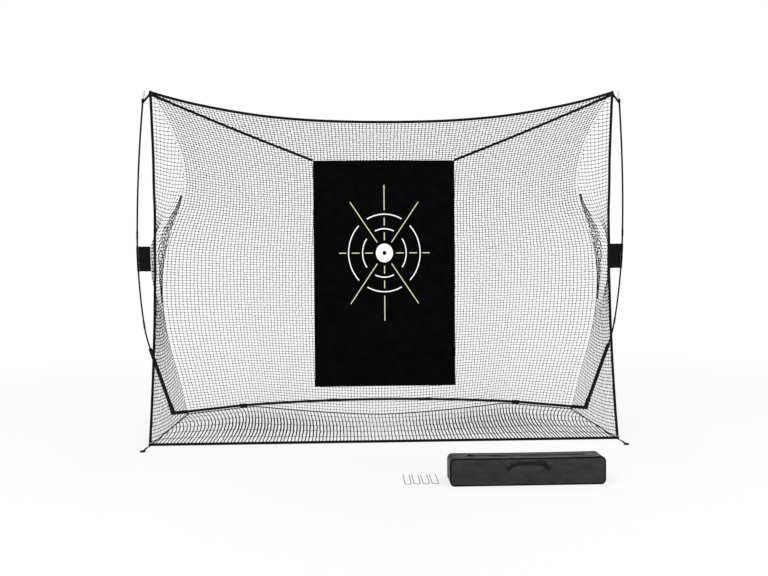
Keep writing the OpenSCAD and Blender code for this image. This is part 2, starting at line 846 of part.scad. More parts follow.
module right_corner_loop() {
    turn = loop_length / upper_r * 180 / PI;
    grid = [
        for (i = [0, 1])
            let (
                place = upper_place(loop_start + loop_length * i),
                pole = pole_point(place),
                axis = cos(place.z) * socket_dir + sin(place.z) * bend_dir,
                edge = corner + [webbing_w / 2 + tab_gap, 0, -patch + 2 + 20 * i],
                way = edge - pole,
                dir = unit(way - (way * axis) * axis)
            )
            [edge, pole + (tab_wrap_r + 0.5) * dir]
    ];
    color(black) {
        pole_arc(upper_place(loop_start), upper_r, turn, tab_wrap_r, pole_d / 2 + 0.3);
        sheet(grid, webbing_t);
    }
}

// A webbing band round the arm tube, with a tab to the rear corner of the net
module right_rear_strap() {
    color(black)
        translate([strap_at.x, strap_at.y, 0])
            rotate([0, 0, -arm_angle]) {
                translate([-rear_strap_w / 2, 0, tube_z])
                    rotate([0, 90, 0])
                        difference() {
                            cylinder(h = rear_strap_w, r = tube_r + 2.3);
                            translate([0, 0, -1])
                                cylinder(h = rear_strap_w + 2, r = tube_r + 0.3);
                        }
                rear_tab(rear_tie - 6);
            }
}

module rear_tab(reach) {
    translate([-rear_strap_w / 2, 0, 0])
        rotate([90, 0, 90])
            linear_extrude(rear_strap_w)
                polygon([
                    [-tube_r - 2, tube_z + 1], [-tube_r - 2, tube_z - 5],
                    [-reach, webbing_t + lay_gap], [-reach - 12, webbing_t + lay_gap],
                    [-reach - 12, 2 * webbing_t + lay_gap], [-reach, 2 * webbing_t + lay_gap]
                ]);
}

// ---- net and webbing ----

module back_band(first, last) {
    rows = band_rows;
    grid = [
        for (i = [0:rows]) [
            for (j = [0:net_columns])
                back_point(1 - 2 * j / net_columns, mix(first, last, i / rows))
        ]
    ];
    color(twine) netting(grid);
}

band_gap = 0.0004;
module net_back_upper() {
    back_band(0, 1 / 3 - band_gap);
}

module net_back_middle() {
    back_band(1 / 3 + band_gap, 2 / 3 - band_gap);
}

module net_back_lower() {
    back_band(2 / 3 + band_gap, 1);
}

// The side narrows from the floor to the top corner
side_columns = 3;
// How far each column is drawn to the tab, from the seam to the front edge
side_draws = [0, 1, 0.35, 0];
function tab_pull(z) = max(0, 1 - max(0, z - tab_high, tab_low - z) / tab_fade);
module net_right_side() {
    edge_gap = webbing_t / 2 + lay_gap + 0.8;
    grid = [
        for (i = [0:len(side_stops) - 1])
            let (
                back = seam_point(side_stops[i]),
                front = side_edge(side_turns[i]) + [0, edge_gap, 0],
                near = min(tab_high, max(tab_low, back.z)),
                plain = mix(back, front, 1 / side_columns),
                held = mix(seam_point(seam_stop(near)), side_line(
                    (side_top - near) / (side_top - side_foot)
                ), 1 / side_columns),
                pull = near == back.z ? tab_hold(near) - plain
                    : tab_pull(back.z) * (tab_hold(near) - held),
                dir = unit(plain + pull - back),
                way = unit(seam_way(seam_knot(side_stops[i]))),
                lean = sqrt(1 - pow(way * dir, 2)),
                rear = back + (cord_d / 2 + 2 * lay_gap) / lean * dir
            )
            [
                for (j = [0:side_columns])
                    j == 0 ? rear : mix(back, front, j / side_columns) + side_draws[j] * pull
            ]
    ];
    color(twine) netting(grid);
}

floor_rows = 4;
module net_floor() {
    inset = floor_inset;
    grid = [
        for (i = [0:floor_rows]) [
            for (j = [0:net_columns])
                let (
                    s = 2 * j / net_columns - 1,
                    v = i / floor_rows,
                    x = s * (mix(half_floor, half_rear, v) - inset),
                    k = abs(j - net_columns / 2),
                    rear = rear_y(k * rear_step) - rear_slant(k) * (cord_d / 2 + lay_gap)
                )
                [x, mix(inset, rear, v), webbing_t / 2]
        ]
    ];
    color(twine) netting(grid, webbing_t);
}

module top_border() {
    ends = half_top + webbing_w / 2;
    steps = 24;
    color(black)
        ribbon([
            for (i = [0:steps])
                let (x = mix(-ends, ends, i / steps)) [x, 0, top_edge_z(x / half_top)]
        ], [0, -1, 0]);
}

module right_front_border() {
    color(black)
        ribbon([for (t = edge_stops) side_edge(t)], [0, -1, 0]);
}

module bottom_border() {
    reach = half_floor - patch_floor / 2 - 0.3;
    color(black)
        translate([-reach, -webbing_w / 2, 0]) cube([2 * reach, webbing_w, webbing_t]);
}

module floor_side_borders() {
    front = patch_floor / 2 + 0.3;
    rear = rear_depth - patch_floor / 2 - 0.3;
    half = webbing_w / 2;
    color(black)
        mirror_x()
            linear_extrude(webbing_t)
                polygon([
                    [half_floor - half, front], [half_floor + half, front],
                    [half_rear + half, rear], [half_rear - half, rear]
                ]);
}

module seam_cords() {
    color(black)
        mirror_x() cord([for (v = seam_stops) seam_point(v)], [0, 1, 0]);
}

module rear_floor_cord() {
    end = half_rear - patch_floor / 2 - 2.2;
    inner = net_columns / 2 - 1;
    stops = concat([-end], [for (k = [-inner:inner]) k * rear_step], [end]);
    color(black)
        cord([for (x = stops) [x, rear_chord(x), cord_d / 2]], [0, 0, 1]);
}

// Sewn webbing at the two top corners and the four floor corners
module corner_patches() {
    half = webbing_w / 2;
    slope = top_sag * top_power / half_top;
    color(black)
        mirror_x() {
            translate(corner - [0, webbing_t / 2 + lay_gap, 0])
                rotate([90, 0, 0])
                    linear_extrude(webbing_t)
                        polygon([
                            [half, half + 1], [-patch, half - slope * patch],
                            [-patch, -half - slope * patch], [-half, -patch], [half, -patch]
                        ]);
            for (p = [[half_floor, 0], [half_rear, rear_depth]])
                translate([p.x - patch_floor / 2, p.y - patch_floor / 2, 0])
                    cube([patch_floor, patch_floor, webbing_t]);
        }
}

// A flat loop of webbing at each front corner ends in a ring that takes a stake
anchor_reach = 165;
ring_hole = 16;
ring_d = 30;
ring_h = 6;
module corner_anchors() {
    start = patch_floor / 2 + 0.3;
    band = 10;
    color(black)
        mirror_x()
            translate([half_floor, -start, 0]) {
                translate([-band / 2, -anchor_reach + start + ring_d / 2 - 3, 0])
                    cube([band, anchor_reach - start - ring_d / 2 + 3, webbing_t]);
                translate([0, start - anchor_reach, 0])
                    difference() {
                        cylinder(h = ring_h, d = ring_d);
                        translate([0, 0, -1]) cylinder(h = ring_h + 2, d = ring_hole);
                    }
            }
}

// ---- target ----

module target_sheet() {
    color(black)
        translate([-target_w / 2, target_y - target_t / 2, target_top - target_h])
            cube([target_w, target_t, target_h]);
}

module target_straps() {
    before = 2 * webbing_t + 2 * lay_gap;
    from = corner + [-10, -before, -19];
    past = corner + [-40, -before, -31];
    to = [target_w / 2 + 0.5, target_y, target_top + 0.9];
    color(black)
        mirror_x() ribbon([from, past, to], [0, -1, 0], w = 15, t = webbing_t);
}

// ---- pieces of the set that lie apart ----

stake_x = 81;
stake_y = -800;
stake_pitch = 49;
stake_count = 4;
stake_point = 14;
module ground_stakes() {
    wire_r = stake_wire / 2;
    leg = stake_length - stake_gap / 2 - wire_r - stake_point;
    color(zinc)
        for (i = [0:stake_count - 1])
            translate([stake_x + i * stake_pitch, stake_y - stake_point - leg, wire_r]) {
                for (s = [-1, 1])
                    translate([s * stake_gap / 2, 0, 0])
                        rotate([-90, 0, 0]) {
                            cylinder(h = leg, r = wire_r);
                            translate([0, 0, leg])
                                cylinder(h = stake_point, r1 = wire_r, r2 = 0.3);
                        }
                rotate([0, 0, 180])
                    rotate_extrude(angle = 180)
                        translate([stake_gap / 2, 0]) circle(wire_r);
            }
}

bag_at = [715, -995];
bag_round = 34;
module rounded(w, h, r) {
    translate([r, 0]) square([w - 2 * r, h]);
    translate([0, r]) square([w, h - 2 * r]);
    for (x = [r, w - r]) for (y = [r, h - r])
        translate([x, y]) circle(r);
}

module carry_bag() {
    color(charcoal)
        translate([bag_at.x - bag_length / 2, bag_at.y - bag_depth / 2, 0])
            rotate([90, 0, 90])
                linear_extrude(bag_length) rounded(bag_depth, bag_height, bag_round);
}

zip_length = 640;
zip_w = 16;
zip_t = 1.5;
module bag_zip_track() {
    color(black)
        translate([bag_at.x - zip_length / 2, bag_at.y - zip_w / 2, bag_height])
            cube([zip_length, zip_w, zip_t]);
}

module bag_zip_slider() {
    color(zinc)
        translate([bag_at.x - zip_length / 2 + 15, bag_at.y, bag_height + zip_t + 0.3]) {
            translate([-9, -5, 0]) cube([18, 10, 4]);
            translate([-6, -2.5, 4]) cube([30, 5, 1.5]);
        }
}

// Two webbing grips on the front and the back of the bag, near its top
grip_w = 25;
grip_span = 220;
module bag_handles() {
    front = bag_depth / 2 + 0.3 + webbing_t / 2;
    low = bag_height - bag_round - 45;
    high = bag_height - bag_round - 4;
    arch = [
        for (i = [0:12])
            let (a = 180 * i / 12)
            [-grip_span / 2 * cos(a), low + (high - low) * pow(sin(a), 0.7)]
    ];
    color(black)
        for (s = [-1, 1])
            translate([bag_at.x, bag_at.y + s * front, 0])
                ribbon([for (p = arch) [p.x, 0, p.y]], [0, -1, 0], w = 14);
}

base_centre_tube();
left() base_right_tube();  // base_left_tube
base_right_tube();
base_joint_sleeves();
left() right_button_spring();  // left_button_spring
right_button_spring();
left() right_snap_button();  // left_snap_button
right_snap_button();
hinge_clevises();
hinge_pins();
left() right_hinge_tongue();  // left_hinge_tongue
right_hinge_tongue();
left() right_arm_tube();  // left_arm_tube
right_arm_tube();
left() right_end_bracket();  // left_end_bracket
right_end_bracket();
left() right_bracket_bolts();  // left_bracket_bolts
right_bracket_bolts();
left() right_socket_tube();  // left_socket_tube
right_socket_tube();
left() right_socket_bushes();  // left_socket_bushes
right_socket_bushes();
left() right_pole_lower();  // left_pole_lower
right_pole_lower();
left() right_pole_middle();  // left_pole_middle
right_pole_middle();
left() right_pole_upper();  // left_pole_upper
right_pole_upper();
left() right_pole_ferrules();  // left_pole_ferrules
right_pole_ferrules();
left() right_pole_cap();  // left_pole_cap
right_pole_cap();
left() right_pole_tab();  // left_pole_tab
right_pole_tab();
left() right_corner_loop();  // left_corner_loop
right_corner_loop();
left() right_rear_strap();  // left_rear_strap
right_rear_strap();
net_back_upper();
net_back_middle();
net_back_lower();
left() net_right_side();  // net_left_side
net_right_side();
net_floor();
top_border();
left() right_front_border();  // left_front_border
right_front_border();
bottom_border();
floor_side_borders();
seam_cords();
rear_floor_cord();
corner_patches();
corner_anchors();
target_sheet();
target_straps();
ground_stakes();
carry_bag();
bag_handles();
bag_zip_track();
bag_zip_slider();
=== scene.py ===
"""Looks of a golf practice net: net, webbing, hanging target, bowed poles, base and bag."""

import logging
import math
from dataclasses import dataclass, field
from enum import Enum
from typing import Any, Sequence

import bmesh
import bpy
import numpy as np
from mathutils import Matrix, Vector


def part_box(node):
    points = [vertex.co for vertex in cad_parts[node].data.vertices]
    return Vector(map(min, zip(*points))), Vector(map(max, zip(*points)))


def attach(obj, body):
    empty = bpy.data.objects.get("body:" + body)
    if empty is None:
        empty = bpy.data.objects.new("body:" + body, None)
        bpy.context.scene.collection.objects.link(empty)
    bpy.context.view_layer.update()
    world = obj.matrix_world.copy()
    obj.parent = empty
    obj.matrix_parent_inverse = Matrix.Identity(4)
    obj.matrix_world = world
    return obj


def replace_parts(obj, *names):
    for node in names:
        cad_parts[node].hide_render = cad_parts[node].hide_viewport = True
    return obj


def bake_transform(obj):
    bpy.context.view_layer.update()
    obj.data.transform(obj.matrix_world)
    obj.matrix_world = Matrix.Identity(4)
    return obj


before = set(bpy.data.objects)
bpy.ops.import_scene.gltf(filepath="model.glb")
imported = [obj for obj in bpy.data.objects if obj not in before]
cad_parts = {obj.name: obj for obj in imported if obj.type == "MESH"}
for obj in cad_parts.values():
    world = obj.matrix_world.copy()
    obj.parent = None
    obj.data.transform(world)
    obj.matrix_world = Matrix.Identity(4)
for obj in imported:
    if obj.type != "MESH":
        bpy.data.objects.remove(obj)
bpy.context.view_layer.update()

log = logging.getLogger("practice_net")
SEED = 7
IMAGE_WIDTH = 768
# Points of a mesh nearer than this, in metres, are one
WELD_WITHIN = 1e-5
# Width on the map of the cut end of a sheet of cloth
END_MAP = 0.001
# Directions that no twine and no knot's normal follows, for cross products with them
ASKEW = np.array([0.31, 0.52, 0.79])
NEAR_UP = np.array([0.1, 0.2, 1.0])
UP = np.array([0.0, 0.0, 1.0])
TO_FRONT = (0, -1, 0)


class Side(Enum):
    """A side of the object, with the sign of its X."""

    LEFT = -1
    RIGHT = 1

    @property
    def label(self) -> str:
        """The side's name, as the frame's nodes and bodies start with it."""
        return self.name.lower()

    @property
    def arm(self) -> str:
        """The body of this side's arm and pole."""
        return f"{self.label}_arm"


# ---- numbers and arrays ----


def linear(code: str) -> tuple[float, float, float, float]:
    """Turns an sRGB hex colour into linear RGBA.

    Args:
        code: Six hex digits after a hash sign.

    Returns:
        Red, green and blue as linear light, and an alpha of 1.
    """
    parts = [int(code[i : i + 2], 16) / 255 for i in (1, 3, 5)]
    light = [c / 12.92 if c <= 0.04045 else ((c + 0.055) / 1.055) ** 2.4 for c in parts]
    return (*light, 1.0)


def unit(vectors: np.ndarray) -> np.ndarray:
    """Scales vectors along the last axis to length 1."""
    length = np.linalg.norm(vectors, axis=-1, keepdims=True)
    return vectors / np.maximum(length, 1e-12)


def tangents(path: np.ndarray) -> np.ndarray:
    """Directions of a path, by central differences between its neighbours."""
    return unit(np.gradient(path, axis=0))


def running_length(path: np.ndarray) -> np.ndarray:
    """Distance along a path at each of its points, starting from 0."""
    steps = np.linalg.norm(np.diff(path, axis=0), axis=1)
    return np.concatenate([[0.0], np.cumsum(steps)])


def smooth(t: np.ndarray) -> np.ndarray:
    """Eases from 0 to 1 with flat ends: 3t^2 - 2t^3 of t held between 0 and 1."""
    t = np.clip(t, 0.0, 1.0)
    return t * t * (3 - 2 * t)


def waves(*fields: np.ndarray, seed: int, count: int = 5) -> np.ndarray:
    """A gentle, repeatable unevenness between about -1 and 1.

    It is the mean of sines of random direction and phase over the given fields.

    Args:
        fields: Coordinates in wave lengths, all of one shape.
        seed: Picks the directions and phases.
        count: Number of sines.

    Returns:
        An array of the fields' shape.
    """
    rng = np.random.default_rng(SEED + seed)
    total = np.zeros_like(fields[0], dtype=float)
    for _ in range(count):
        phase = rng.uniform(0, 2 * np.pi)
        turns = sum(f * rng.uniform(0.5, 1.5) * rng.choice([-1, 1]) for f in fields)
        total += np.sin(2 * np.pi * turns + phase)
    return total / count * 1.6


# ---- meshes ----


def flat_profile(width: float, thickness: float, steps: int = 3) -> np.ndarray:
    """Section of webbing: a rectangle whose two short sides are half circles.

    Args:
        width: Full width.
        thickness: Full thickness, and the diameter of the half circles.
        steps: Parts of each half circle.

    Returns:
        Points across the width and the thickness, counterclockwise.
    """
    r = thickness / 2
    a = np.linspace(-np.pi / 2, np.pi / 2, steps + 1)
    right = np.stack([width / 2 - r + r * np.cos(a), r * np.sin(a)], axis=1)
    return np.concatenate([right, -right])


def round_profile(radius: float, sides: int = 10) -> np.ndarray:
    """Section of a cord: a regular polygon, counterclockwise."""
    a = np.arange(sides) * 2 * np.pi / sides
    return radius * np.stack([np.cos(a), np.sin(a)], axis=1)


class Shell:
    """Gathers surface patches as arrays and turns them into one mesh object.

    Args:
        flip: True for a shape on the left, whose X and faces are mirrored.
    """

    def __init__(self, flip: bool = False) -> None:
        self.flip = flip
        self.points: list[np.ndarray] = []
        self.faces: list[np.ndarray] = []
        self.maps: list[np.ndarray] = []
        self.count = 0

    def patch(self, points: np.ndarray, faces: np.ndarray, maps: np.ndarray) -> None:
        """Adds points, faces that count from the first of them, and a map per corner."""
        self.points.append(points.reshape(-1, 3))
        self.faces.append(faces + self.count)
        self.maps.append(maps)
        self.count += len(self.points[-1])

    def grid(self, points: np.ndarray, u: np.ndarray, v: np.ndarray, wrap: bool) -> None:
        """Adds a grid of quads that looks along (next column) x (next row).

        Args:
            points: Rows x columns x 3.
            u: Map across, one value a column, and one more for a closed grid.
            v: Map along, one value a row.
            wrap: True where the last column joins the first.
        """
        rows, cols = points.shape[:2]
        i, j = np.meshgrid(
            np.arange(rows - 1), np.arange(cols if wrap else cols - 1), indexing="ij"
        )
        right = (j + 1) % cols
        faces = np.stack(
            [i * cols + j, i * cols + right, (i + 1) * cols + right, (i + 1) * cols + j], -1
        )
        maps = np.stack(
            [
                np.stack([u[j], u[j + 1], u[j + 1], u[j]], -1),
                np.stack([v[i], v[i], v[i + 1], v[i + 1]], -1),
            ],
            -1,
        )
        self.patch(points, faces.reshape(-1, 4), maps.reshape(-1, 4, 2))

    def sweep(
        self,
        path: np.ndarray,
        face: Sequence[float] | np.ndarray,
        profile: np.ndarray,
        scale: np.ndarray | None = None,
        closed: bool = False,
    ) -> None:
        """Carries a profile along a path.

        At each point the profile's first axis is face x direction and its second axis is
        direction x first axis, which looks along face.

        Args:
            path: Points of the path.
            face: Vector that the profile's second axis looks along, or one a point.
            profile: Points of the section, counterclockwise.
            scale: Size of the section at each point, 1 where it is left out.
            closed: True where the path's end meets its start.
        """
        if closed:
            around = np.concatenate([path[-1:], path, path[:2]])
            along = tangents(around)[1:-1]
            path = np.concatenate([path, path[:1]])
        else:
            along = tangents(path)
        wide = unit(np.cross(np.broadcast_to(np.asarray(face, float), along.shape), along))
        thick = np.cross(along, wide)
        size = np.ones(len(path)) if scale is None else scale
        rings = (
            path[:, None]
            + profile[None, :, :1] * (size[:, None] * wide)[:, None]
            + profile[None, :, 1:] * (size[:, None] * thick)[:, None]
        )
        u = running_length(np.concatenate([profile, profile[:1]]))
        self.grid(rings, u, running_length(path), wrap=True)
        if not closed:
            for ring, order in ((rings[0], -1), (rings[-1], 1)):
                self.cap(ring[::order], profile[::order])

    def cap(self, ring: np.ndarray, flat: np.ndarray) -> None:
        """Closes a ring with a fan of triangles round its middle.

        Args:
            ring: Points, counterclockwise as seen from outside.
            flat: The same points in two dimensions, for the map.
        """
        n = len(ring)
        j = np.arange(n)
        points = np.concatenate([ring, ring.mean(0, keepdims=True)])
        spots = np.concatenate([flat, flat.mean(0, keepdims=True)])
        faces = np.stack([j, (j + 1) % n, np.full(n, n)], -1)
        self.patch(points, faces, spots[faces])

    def slab(
        self, middle: np.ndarray, thickness: np.ndarray | float, apart: float = 0.0
    ) -> None:
        """Adds a closed sheet of cloth round a grid of points.

        Args:
            middle: Rows x columns x 3, halfway through the cloth.
            thickness: One value, or one a point.
            apart: How far the map of the sheet's back lies from that of its front, so that a
                print on one stays off the other.
        """
        across = np.gradient(middle, axis=1)
        along = np.gradient(middle, axis=0)
        half = np.asarray(thickness) / 2 * np.ones(middle.shape[:2])
        lift = unit(np.cross(across, along)) * half[..., None]
        top, bottom = middle + lift, middle - lift
        loop = np.concatenate([top, bottom[:, ::-1]], axis=1)
        u = running_length(middle[len(middle) // 2])
        v = running_length(middle[:, middle.shape[1] // 2])
        around = np.concatenate([u, u[::-1] + apart, u[:1]])
        self.grid(loop, around, v, wrap=True)
        for ends in ((top[0], bottom[0]), (bottom[-1], top[-1])):
            self.grid(np.stack(ends), u, np.array([0.0, END_MAP]), wrap=False)

    def twines(self, start: np.ndarray, end: np.ndarray, radius: float) -> None:
        """Adds a three-sided prism from each start to each end, open at both knots."""
        along = unit(end - start)
        first = unit(np.cross(along, ASKEW))
        second = np.cross(along, first)
        angle = np.arange(3) * 2 * np.pi / 3
        spokes = radius * (
            first[:, None] * np.cos(angle)[None, :, None]
            + second[:, None] * np.sin(angle)[None, :, None]
        )
        points = np.concatenate([start[:, None] + spokes, end[:, None] + spokes], axis=1)
        faces = np.array([[k, (k + 1) % 3, (k + 1) % 3 + 3, k + 3] for k in range(3)])
        faces = (np.arange(len(start)) * 6)[:, None, None] + faces
        flat = np.zeros((len(start) * 3, 4, 2))
        self.patch(points, faces.reshape(-1, 4), flat)

    def knots(
        self, centres: np.ndarray, across: float, thick: float, out: np.ndarray
    ) -> None:
        """Adds an eight-sided double pyramid at each knot, flattened along its normal.

        Args:
            centres: Knot positions.
            across: Radius in the plane of the net.
            thick: Half the height along the normal.
            out: Unit normal at each knot.
        """
        first = unit(np.cross(out, NEAR_UP))
        second = np.cross(out, first)
        arms = np.stack([first, second, -first, -second], axis=1) * across
        tips = np.stack([out, -out], axis=1) * thick
        points = centres[:, None] + np.concatenate([arms, tips], axis=1)
        faces = np.array(
            [[k, (k + 1) % 4, 4] for k in range(4)] + [[(k + 1) % 4, k, 5] for k in range(4)]
        )
        faces = (np.arange(len(centres)) * 6)[:, None, None] + faces
        self.patch(points, faces.reshape(-1, 3), np.zeros((len(centres) * 8, 3, 2)))

    @staticmethod
    def weld(mesh: bpy.types.Mesh) -> None:
        """Joins the points of a mesh that lie within WELD_WITHIN of each other."""
        work = bmesh.new()
        work.from_mesh(mesh)
        bmesh.ops.remove_doubles(work, verts=work.verts, dist=WELD_WITHIN)
        work.to_mesh(mesh)
        work.free()

    def piece(
        self, name: str, finish: "Finish", rounded: bool = True, weld: bool = True
    ) -> bpy.types.Object:
        """Makes the mesh object.

        Args:
            name: Name of the piece.
            finish: Finish that dresses it.
            rounded: True for smooth shading.
            weld: True to join patches where their points meet.

        Returns:
            The object, at the origin, linked to the scene.
        """
        points = np.concatenate(self.points)
        if self.flip:
            points = points * np.array([-1.0, 1.0, 1.0])
        corners, totals, maps = [], [], []
        for faces, flat in zip(self.faces, self.maps):
            if self.flip:
                faces, flat = faces[:, ::-1], flat[:, ::-1]
            corners.append(faces.reshape(-1))
            totals.append(np.full(len(faces), faces.shape[1]))
            maps.append(flat.reshape(-1, 2))
        corner, total = np.concatenate(corners), np.concatenate(totals)
        mesh = bpy.data.meshes.new(name)
        mesh.vertices.add(len(points))
        mesh.vertices.foreach_set("co", points.astype(np.float32).ravel())
        mesh.loops.add(len(corner))
        mesh.loops.foreach_set("vertex_index", corner.astype(np.int32))
        mesh.polygons.add(len(total))
        starts = np.concatenate([[0], np.cumsum(total)[:-1]])
        mesh.polygons.foreach_set("loop_start", starts.astype(np.int32))
        mesh.polygons.foreach_set("use_smooth", np.full(len(total), rounded))
        layer = mesh.uv_layers.new(name="UVMap")
        layer.data.foreach_set("uv", np.concatenate(maps).astype(np.float32).ravel())
        mesh.update(calc_edges=True)
        if weld:
            self.weld(mesh)
        mesh.validate()
        mesh.materials.append(finish.material())
        made = bpy.data.objects.new(name, mesh)
        bpy.context.scene.collection.objects.link(made)
        log.info("%s: %d faces", name, len(mesh.polygons))
        return made


# ---- materials ----


def add_node(
    tree: bpy.types.NodeTree, kind: str, links: dict[Any, Any], **settings: Any
) -> Any:
    """Adds a shader node.

    Args:
        tree: The material's node tree.
        kind: Node type, without its ShaderNode prefix.
        links: Input name or index to a socket that feeds it, or to its value.
        settings: Attributes of the node.

    Returns:
        The node.
    """
    made = tree.nodes.new("ShaderNode" + kind)
    for key, value in settings.items():
        setattr(made, key, value)
    for key, value in links.items():
        if isinstance(value, bpy.types.NodeSocket):
            tree.links.new(value, made.inputs[key])
        else:
            made.inputs[key].default_value = value
    return made


def fresh_tree(owner: bpy.types.Material | bpy.types.World) -> bpy.types.NodeTree:
    """The node tree of a material or a world, emptied."""
    owner.use_nodes = True
    owner.node_tree.nodes.clear()
    return owner.node_tree


def map_axes(tree: bpy.types.NodeTree, place: Any) -> tuple[Any, Any]:
    """Where a point lies across and along its piece's own map, in metres."""
    spot = add_node(tree, "SeparateXYZ", {0: place.outputs["UV"]})
    return spot.outputs[0], spot.outputs[1]


def sums(tree: bpy.types.NodeTree, operation: str, *values: Any) -> bpy.types.NodeSocket:
    """The output of a Math node that works on the given sockets or numbers."""
    return add_node(tree, "Math", dict(enumerate(values)), operation=operation).outputs[0]


@dataclass(frozen=True)
class Finish:
    """A material and how its surface was made.

    Attributes:
        title: The material's name.
        slot: The record's material slot; not used here.
        colour: Base colour, sRGB hex.
        roughness: Of the bare surface.
        metallic: 1 for bare metal.
        ior: Index of refraction of what isn't metal.
        gloss: Share of the mirror-like reflection, lower for loose fibres.
        grain: Size of the surface's grain in metres.
        relief: Height of the surface's relief in metres.
        spread: How far the colour varies, as a share.
    """

    title: str
    slot: str
    colour: str
    roughness: float = 0.5
    metallic: float = 0.0
    ior: float = 1.5
    gloss: float = 0.5
    grain: float = 0.001
    relief: float = 0.0001
    spread: float = 0.15

    def material(self) -> bpy.types.Material:
        """Makes the material once and returns it from then on."""
        found = bpy.data.materials.get(self.title)
        if found:
            return found
        made = bpy.data.materials.new(self.title)
        tree = fresh_tree(made)
        shader = add_node(
            tree,
            "BsdfPrincipled",
            {"Base Color": linear(self.colour), "Roughness": self.roughness},
        )
        shader.inputs["Metallic"].default_value = self.metallic
        if not self.metallic:
            shader.inputs["IOR"].default_value = self.ior
            shader.inputs["Specular IOR Level"].default_value = self.gloss
        add_node(tree, "OutputMaterial", {"Surface": shader.outputs[0]})
        place = add_node(tree, "TexCoord", {})
        self.dress(tree, shader, place)
        made.diffuse_color = linear(self.colour)
        return made

    def dress(self, tree: bpy.types.NodeTree, shader: Any, place: Any) -> None:
        """Adds the surface's detail: here the fine grain of a moulded or cast surface."""
        height = self.noise(tree, place.outputs["Object"], self.grain, 3.0)
        self.shade(tree, shader, height)
        self.emboss(tree, shader, height)

    def noise(
        self, tree: bpy.types.NodeTree, where: Any, size: float, detail: float
    ) -> bpy.types.NodeSocket:
        """A noise from 0 to 1 whose blobs are about size metres across."""
        made = add_node(
            tree, "TexNoise", {"Vector": where, "Scale": 1 / size, "Detail": detail}
        )
        return made.outputs["Fac"]

    def shade(self, tree: bpy.types.NodeTree, shader: Any, amount: Any) -> None:
        """Varies the base colour by spread, and the roughness a little, with amount."""
        base = linear(self.colour)
        dark = [c * (1 - self.spread) for c in base[:3]] + [1]
        pale = [min(1, c * (1 + self.spread) + self.spread * 0.01) for c in base[:3]] + [1]
        mixed = add_node(tree, "Mix", {0: amount, 6: dark, 7: pale}, data_type="RGBA")
        tree.links.new(mixed.outputs[2], shader.inputs["Base Color"])
        gloss = add_node(
            tree,
            "MapRange",
            {"Value": amount, 3: self.roughness * 0.85, 4: min(1, self.roughness * 1.15)},
        )
        tree.links.new(gloss.outputs[0], shader.inputs["Roughness"])

    def emboss(self, tree: bpy.types.NodeTree, shader: Any, height: Any) -> None:
        """Raises the surface by relief where height is 1."""
        bump = add_node(
            tree, "Bump", {"Height": height, "Distance": self.relief, "Strength": 1.0}
        )
        tree.links.new(bump.outputs[0], shader.inputs["Normal"])


@dataclass(frozen=True)
class CoatedMetal(Finish):
    """Powder-coated steel: the melted powder leaves a soft orange peel with tiny specks.

    Attributes:
        coat: Weight of the clear coat over the pigment.
        coat_roughness: Roughness of that coat.
        rub: Size of the patches that handling has rubbed.
    """

    coat: float = 0.15
    coat_roughness: float = 0.35
    rub: float = 0.09

    def dress(self, tree: bpy.types.NodeTree, shader: Any, place: Any) -> None:
        """Orange peel at the grain size, with slow rubs in the gloss along the tube."""
        shader.inputs["Coat Weight"].default_value = self.coat
        shader.inputs["Coat Roughness"].default_value = self.coat_roughness
        peel = self.noise(tree, place.outputs["Object"], self.grain, 2.0)
        rubs = self.noise(tree, place.outputs["Object"], self.rub, 5.0)
        self.shade(tree, shader, rubs)
        self.emboss(tree, shader, peel)


@dataclass(frozen=True)
class PlatedMetal(Finish):
    """Zinc on steel: grey, softly mottled, with crystals where it was dipped hot.

    Attributes:
        spangle: Size of a crystal.
    """

    spangle: float = 0.006

    def dress(self, tree: bpy.types.NodeTree, shader: Any, place: Any) -> None:
        """Flat crystals of the spangle size, each a little lighter or darker."""
        cells = add_node(
            tree,
            "TexVoronoi",
            {"Vector": place.outputs["Object"], "Scale": 1 / self.spangle},
        )
        tone = add_node(tree, "SeparateColor", {0: cells.outputs["Color"]})
        self.shade(tree, shader, tone.outputs[0])
        grain = self.noise(tree, place.outputs["Object"], self.grain, 3.0)
        self.emboss(tree, shader, grain)


@dataclass(frozen=True)
class DrawnRod(Finish):
    """Pultruded glass fibre under black paint: faint streaks run along the rod.

    Attributes:
        coat: Weight of the clear coat over the paint.
        coat_roughness: Roughness of that coat.
        squeeze: Scale of the noise along the rod, less than 1 where streaks are long.
    """

    coat: float = 0.06
    coat_roughness: float = 0.3
    squeeze: float = 0.025

    def dress(self, tree: bpy.types.NodeTree, shader: Any, place: Any) -> None:
        """Noise drawn out along the rod's rise, 1 / squeeze times."""
        shader.inputs["Coat Weight"].default_value = self.coat
        shader.inputs["Coat Roughness"].default_value = self.coat_roughness
        drawn = add_node(
            tree,
            "Mapping",
            {"Vector": place.outputs["Object"], "Scale": (1.0, 1.0, self.squeeze)},
        )
        streaks = self.noise(tree, drawn.outputs[0], self.grain, 4.0)
        self.shade(tree, shader, streaks)
        self.emboss(tree, shader, streaks)


